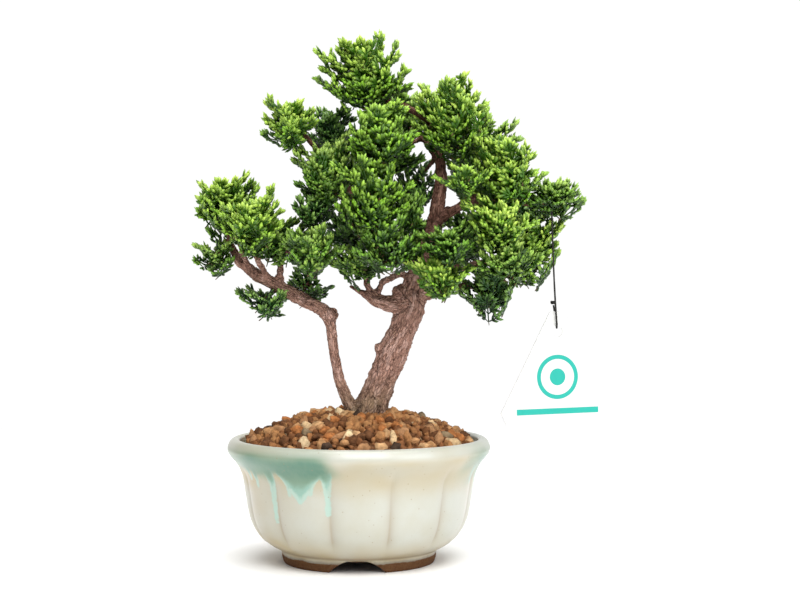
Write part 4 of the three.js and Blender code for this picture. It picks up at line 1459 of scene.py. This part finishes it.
@dataclass
class Crown:
    """All the pads of foliage, each grown over its CAD solid as a crowd of small fans.

    Sun is how much light a pad gets, and the fans of pads that others shade show less of their light green.
    """

    kinds: int = 6
    spacing: float = 11.2 * MM
    dark_spacing: float = 1.12
    reach: float = 25.0 * MM
    along: Place = (1.25, 0.75, 0.6)
    lift: float = 0.15
    steepest_drop: float = -0.05
    fan_share: float = 0.85
    smallest: float = 0.6
    sway: float = 0.4
    outward: Place = (0.7, 0.7, 0.9)
    rolled: tuple[Place, Place] = ((-0.6, -0.6, 0.0), (0.6, 0.6, 0.8))
    sunk: Span = (1.3, 1.48)
    raised: float = 0.2
    pull: Place = (-0.88, -0.95, -1.13)
    bare: float = 0.1
    bare_lifted: float = 0.36
    lifted: tuple[str, ...] = ("right_low", "left_under", "front_low")
    least_lit: float = 0.15
    lit_depth: Span = (0.3, 0.85)
    chance: Span = (0.6, 1.25)
    sun_shaded: float = 0.4
    shaded: tuple[str, ...] = (
        "upper_front", "front_high", "front_middle", "upper_middle", "front_centre", "front_left",
    )
    seed: int = 5

    def sprays(self) -> Collection:
        """Make the unlike fans that the node tree chooses from.

        Returns:
            The collection, kept out of the scene.
        """
        draw = random.Random(self.seed)
        kinds = bpy.data.collections.new("sprays")
        for i in range(self.kinds):
            kinds.objects.link(Spray(draw).build(f"spray_{i}"))
        return kinds

    def sun(self, node: Adder, given: dict[str, NodeSocket], far: Node, lit: Node) -> Node:
        """Work out how sunlit each fan is.

        Args:
            node: Adds a node to the tree.
            given: The tree's inputs.
            far: How far each fan lies from the pad's root.
            lit: How high it lies in the pad.

        Returns:
            Next to none low and deep in the pad, and most at its top, with a draw for each fan.
        """
        deep = node("ShaderNodeMath", {0: far, 1: given["Radius"]}, operation="DIVIDE")
        deep = node("ShaderNodeMapRange", {0: deep, 1: self.lit_depth[0], 2: self.lit_depth[1]})
        chance = {2: self.chance[0], 3: self.chance[1], "Seed": given["Seed"]}
        chance = node("FunctionNodeRandomValue", chance, data_type="FLOAT")
        sun = lit
        for share in (deep, chance, given["Sun"]):
            sun = node("ShaderNodeMath", {0: sun, 1: share}, operation="MULTIPLY")
        return sun

    def tree(self) -> NodeTree:
        """Build the node tree that sets fans with their tips on a pad's surface.

        Returns:
            The tree. Each fan points away from the pad's root, its upper face turned up.
        """
        tree, node, given = start_tree(
            "Grow fans", "Pad", Spacing="Float", Root="Vector", Radius="Float", Reach="Float", Low="Float",
            High="Float", Bare="Float", Sun="Float", Seed="Int", Sprays="Collection", Finish="Material",
        )
        seed = given["Seed"]
        place = node("GeometryNodeInputPosition")
        height = node("ShaderNodeSeparateXYZ", {0: place}).outputs[2]
        over = node("FunctionNodeCompare", {0: height, 1: given["Bare"]}, operation="GREATER_THAN")
        inputs = {"Mesh": given["Pad"], "Selection": over, "Distance Min": given["Spacing"],
                  "Density Max": 60000.0, "Seed": seed}
        spots = node("GeometryNodeDistributePointsOnFaces", inputs, distribute_method="POISSON")
        away = node("ShaderNodeVectorMath", {0: place, 1: given["Root"]}, operation="SUBTRACT")
        far = node("ShaderNodeVectorMath", {0: away}, operation="LENGTH")
        straight = node("ShaderNodeVectorMath", {0: away}, operation="NORMALIZE")
        inputs = {0: straight, 1: self.along, 2: (0.0, 0.0, self.lift)}
        rising = node("ShaderNodeVectorMath", inputs, operation="MULTIPLY_ADD")
        inputs = {0: (-self.sway,) * 3, 1: (self.sway,) * 3, "Seed": seed}
        sway = node("FunctionNodeRandomValue", inputs, data_type="FLOAT_VECTOR")
        ahead = node("ShaderNodeVectorMath", {0: rising, 1: sway}, operation="ADD")
        ahead = {0: ahead, 1: (-1.0, -1.0, self.steepest_drop)}
        ahead = node("ShaderNodeVectorMath", ahead, operation="MAXIMUM")
        ahead = node("ShaderNodeVectorMath", {0: ahead}, operation="NORMALIZE")
        lit = {0: height, 1: given["Low"], 2: given["High"]}
        lit = node("ShaderNodeMapRange", lit, interpolation_type="SMOOTHSTEP")
        lit = node("ShaderNodeMapRange", {0: lit, 3: self.least_lit, 4: 1.0})
        inputs = {"Geometry": spots, "Name": "sun", "Value": self.sun(node, given, far, lit)}
        marked = node("GeometryNodeStoreNamedAttribute", inputs, data_type="FLOAT", domain="POINT")
        inputs = {0: self.rolled[0], 1: self.rolled[1], "Seed": seed}
        tilt = node("FunctionNodeRandomValue", inputs, data_type="FLOAT_VECTOR")
        upper = {0: straight, 1: self.outward, 2: tilt}
        upper = node("ShaderNodeVectorMath", upper, operation="MULTIPLY_ADD")
        inputs = {"Primary Axis": ahead, "Secondary Axis": upper}
        facing = node("FunctionNodeAxesToRotation", inputs, primary_axis="Y", secondary_axis="Z")
        back = node("ShaderNodeMath", {0: far, 1: self.fan_share}, operation="MULTIPLY")
        back = node("ShaderNodeMath", {0: back, 1: given["Reach"]}, operation="MINIMUM")
        size = node("ShaderNodeMath", {0: back, 1: given["Reach"]}, operation="DIVIDE")
        size = node("ShaderNodeMapRange", {0: size, 1: 0.2, 2: 1.0, 3: self.smallest, 4: 1.0})
        inputs = {0: given["Sprays"], "Separate Children": True, "Reset Children": True}
        kinds = node("GeometryNodeCollectionInfo", inputs)
        inputs = {"Points": marked, "Instance": kinds, "Pick Instance": True, "Rotation": facing,
                  "Scale": size}
        fans = node("GeometryNodeInstanceOnPoints", inputs)
        inputs = {2: self.sunk[0], 3: self.sunk[1], "Seed": seed}
        sunk = node("FunctionNodeRandomValue", inputs, data_type="FLOAT")
        sunk = node("ShaderNodeMath", {0: lit, 1: -self.raised, 2: sunk}, operation="MULTIPLY_ADD")
        sunk = node("ShaderNodeMath", {0: back, 1: sunk}, operation="MULTIPLY")
        pulled = node("ShaderNodeVectorMath", {0: ahead, "Scale": sunk}, operation="SCALE")
        pulled = node("ShaderNodeVectorMath", {0: pulled, 1: self.pull}, operation="MULTIPLY")
        inputs = {"Instances": fans, "Translation": pulled, "Local Space": False}
        end_tree(node, node("GeometryNodeTranslateInstances", inputs), given["Finish"])
        return tree

    def build(self) -> None:
        """Grow every pad over its node."""
        kinds, tree = self.sprays(), self.tree()
        finishes = {tone: leaf.build() for tone, leaf in LEAVES.items()}
        slots = {row["node"]: row["material_slot"] for row in frame["record"]["subparts"]}
        for i, node in enumerate(PADS):
            low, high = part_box(node)
            size, pad, tone = high - low, node.removeprefix("foliage_"), Tone(slots[node])
            bare = self.bare_lifted if pad in self.lifted else self.bare
            sizes = {
                "Spacing": self.spacing * (self.dark_spacing if tone is Tone.DARK else 1.0),
                "Root": (low + high) / 2 - Vector((0, 0, size.z * 0.5)), "Radius": size.x / 2,
                "Reach": self.reach, "Low": low.z, "High": high.z - 0.1 * size.z,
                "Bare": low.z + bare * size.z,
                "Sun": self.sun_shaded if pad in self.shaded else 1.0, "Seed": self.seed + i, "Sprays": kinds,
                "Finish": finishes[tone],
            }
            keep(grow(node_copy(node), tree, sizes, f"sprays_{pad}"), tone.value, finishes[tone], node)


# Studio


@dataclass
class Studio:
    """A pale floor before a white backdrop, soft lamps and the camera."""

    lens: float = 75.0
    eye: Place = (30.75 * MM, -1250 * MM, 219 * MM)
    pitch: float = 1.254
    floor_side: float = 2.0
    room: float = 0.5
    backdrop: float = 1.02
    backdrop_from: Span = (0.7, 0.88)
    lit_spot: Place = (0, 0, 0.2)
    lamps: tuple[tuple[str, Place, float, float], ...] = (
        ("key", (0.15, -1.3, 1.5), 1.2, 28.0),
        ("fill", (1.3, -1.0, 0.9), 1.0, 9.0),
        ("top", (0.1, 0.2, 1.7), 1.2, 24.0),
    )

    def camera(self) -> None:
        """Set the camera at eye height, looking slightly down."""
        camera = in_scene("camera", bpy.data.cameras.new("camera"))
        camera.data.lens = self.lens
        camera.location = Vector(self.eye) + Vector((AXIS.x, 0, 0))
        camera.rotation_euler = (math.radians(90 - self.pitch), 0, 0)
        bpy.context.scene.camera = camera

    def surroundings(self) -> None:
        """Surround the set with a pale room that has a white backdrop at its far end."""
        world = bpy.data.worlds.new("studio")
        bpy.context.scene.world = world
        world.use_nodes = True
        node = partial(add, world.node_tree)
        way = node("ShaderNodeTexCoord").outputs["Generated"]
        far = node("ShaderNodeSeparateXYZ", {0: way}).outputs[1]
        start, full = self.backdrop_from
        strength = node("ShaderNodeMapRange", {0: far, 1: start, 2: full, 3: self.room, 4: self.backdrop})
        feed(world.node_tree.nodes["Background"], {"Color": "#FFFFFF", "Strength": strength})

    def build(self) -> None:
        """Lay the floor, and light it with soft lamps and the room."""
        half = self.floor_side / 2
        corners = np.array([(-half, -half, 0), (half, -half, 0), (half, half, 0), (-half, half, 0)])
        floor = new_object("floor", corners, [(0, 1, 2, 3)])
        floor.data.materials.append(PAPER.build())
        for name, place, size, power in self.lamps:
            lamp = in_scene(name, bpy.data.lights.new(name, "AREA"))
            lamp.data.size, lamp.data.energy = size, power
            lamp.location = place
            lamp.rotation_euler = (Vector(self.lit_spot) - Vector(place)).to_track_quat("-Z", "Y").to_euler()
        self.surroundings()
        bpy.context.scene.view_settings.view_transform = "Standard"


def main() -> None:
    """Make the camera and the twine first, then the pieces, then the light."""
    studio = Studio()
    studio.camera()
    for maker in (Tag(), Pot(), Wood(), Ground(), Crown()):
        maker.build()
        LOG.info("%s: done", type(maker).__name__)
    studio.build()


if __name__ == "__main__":
    main()
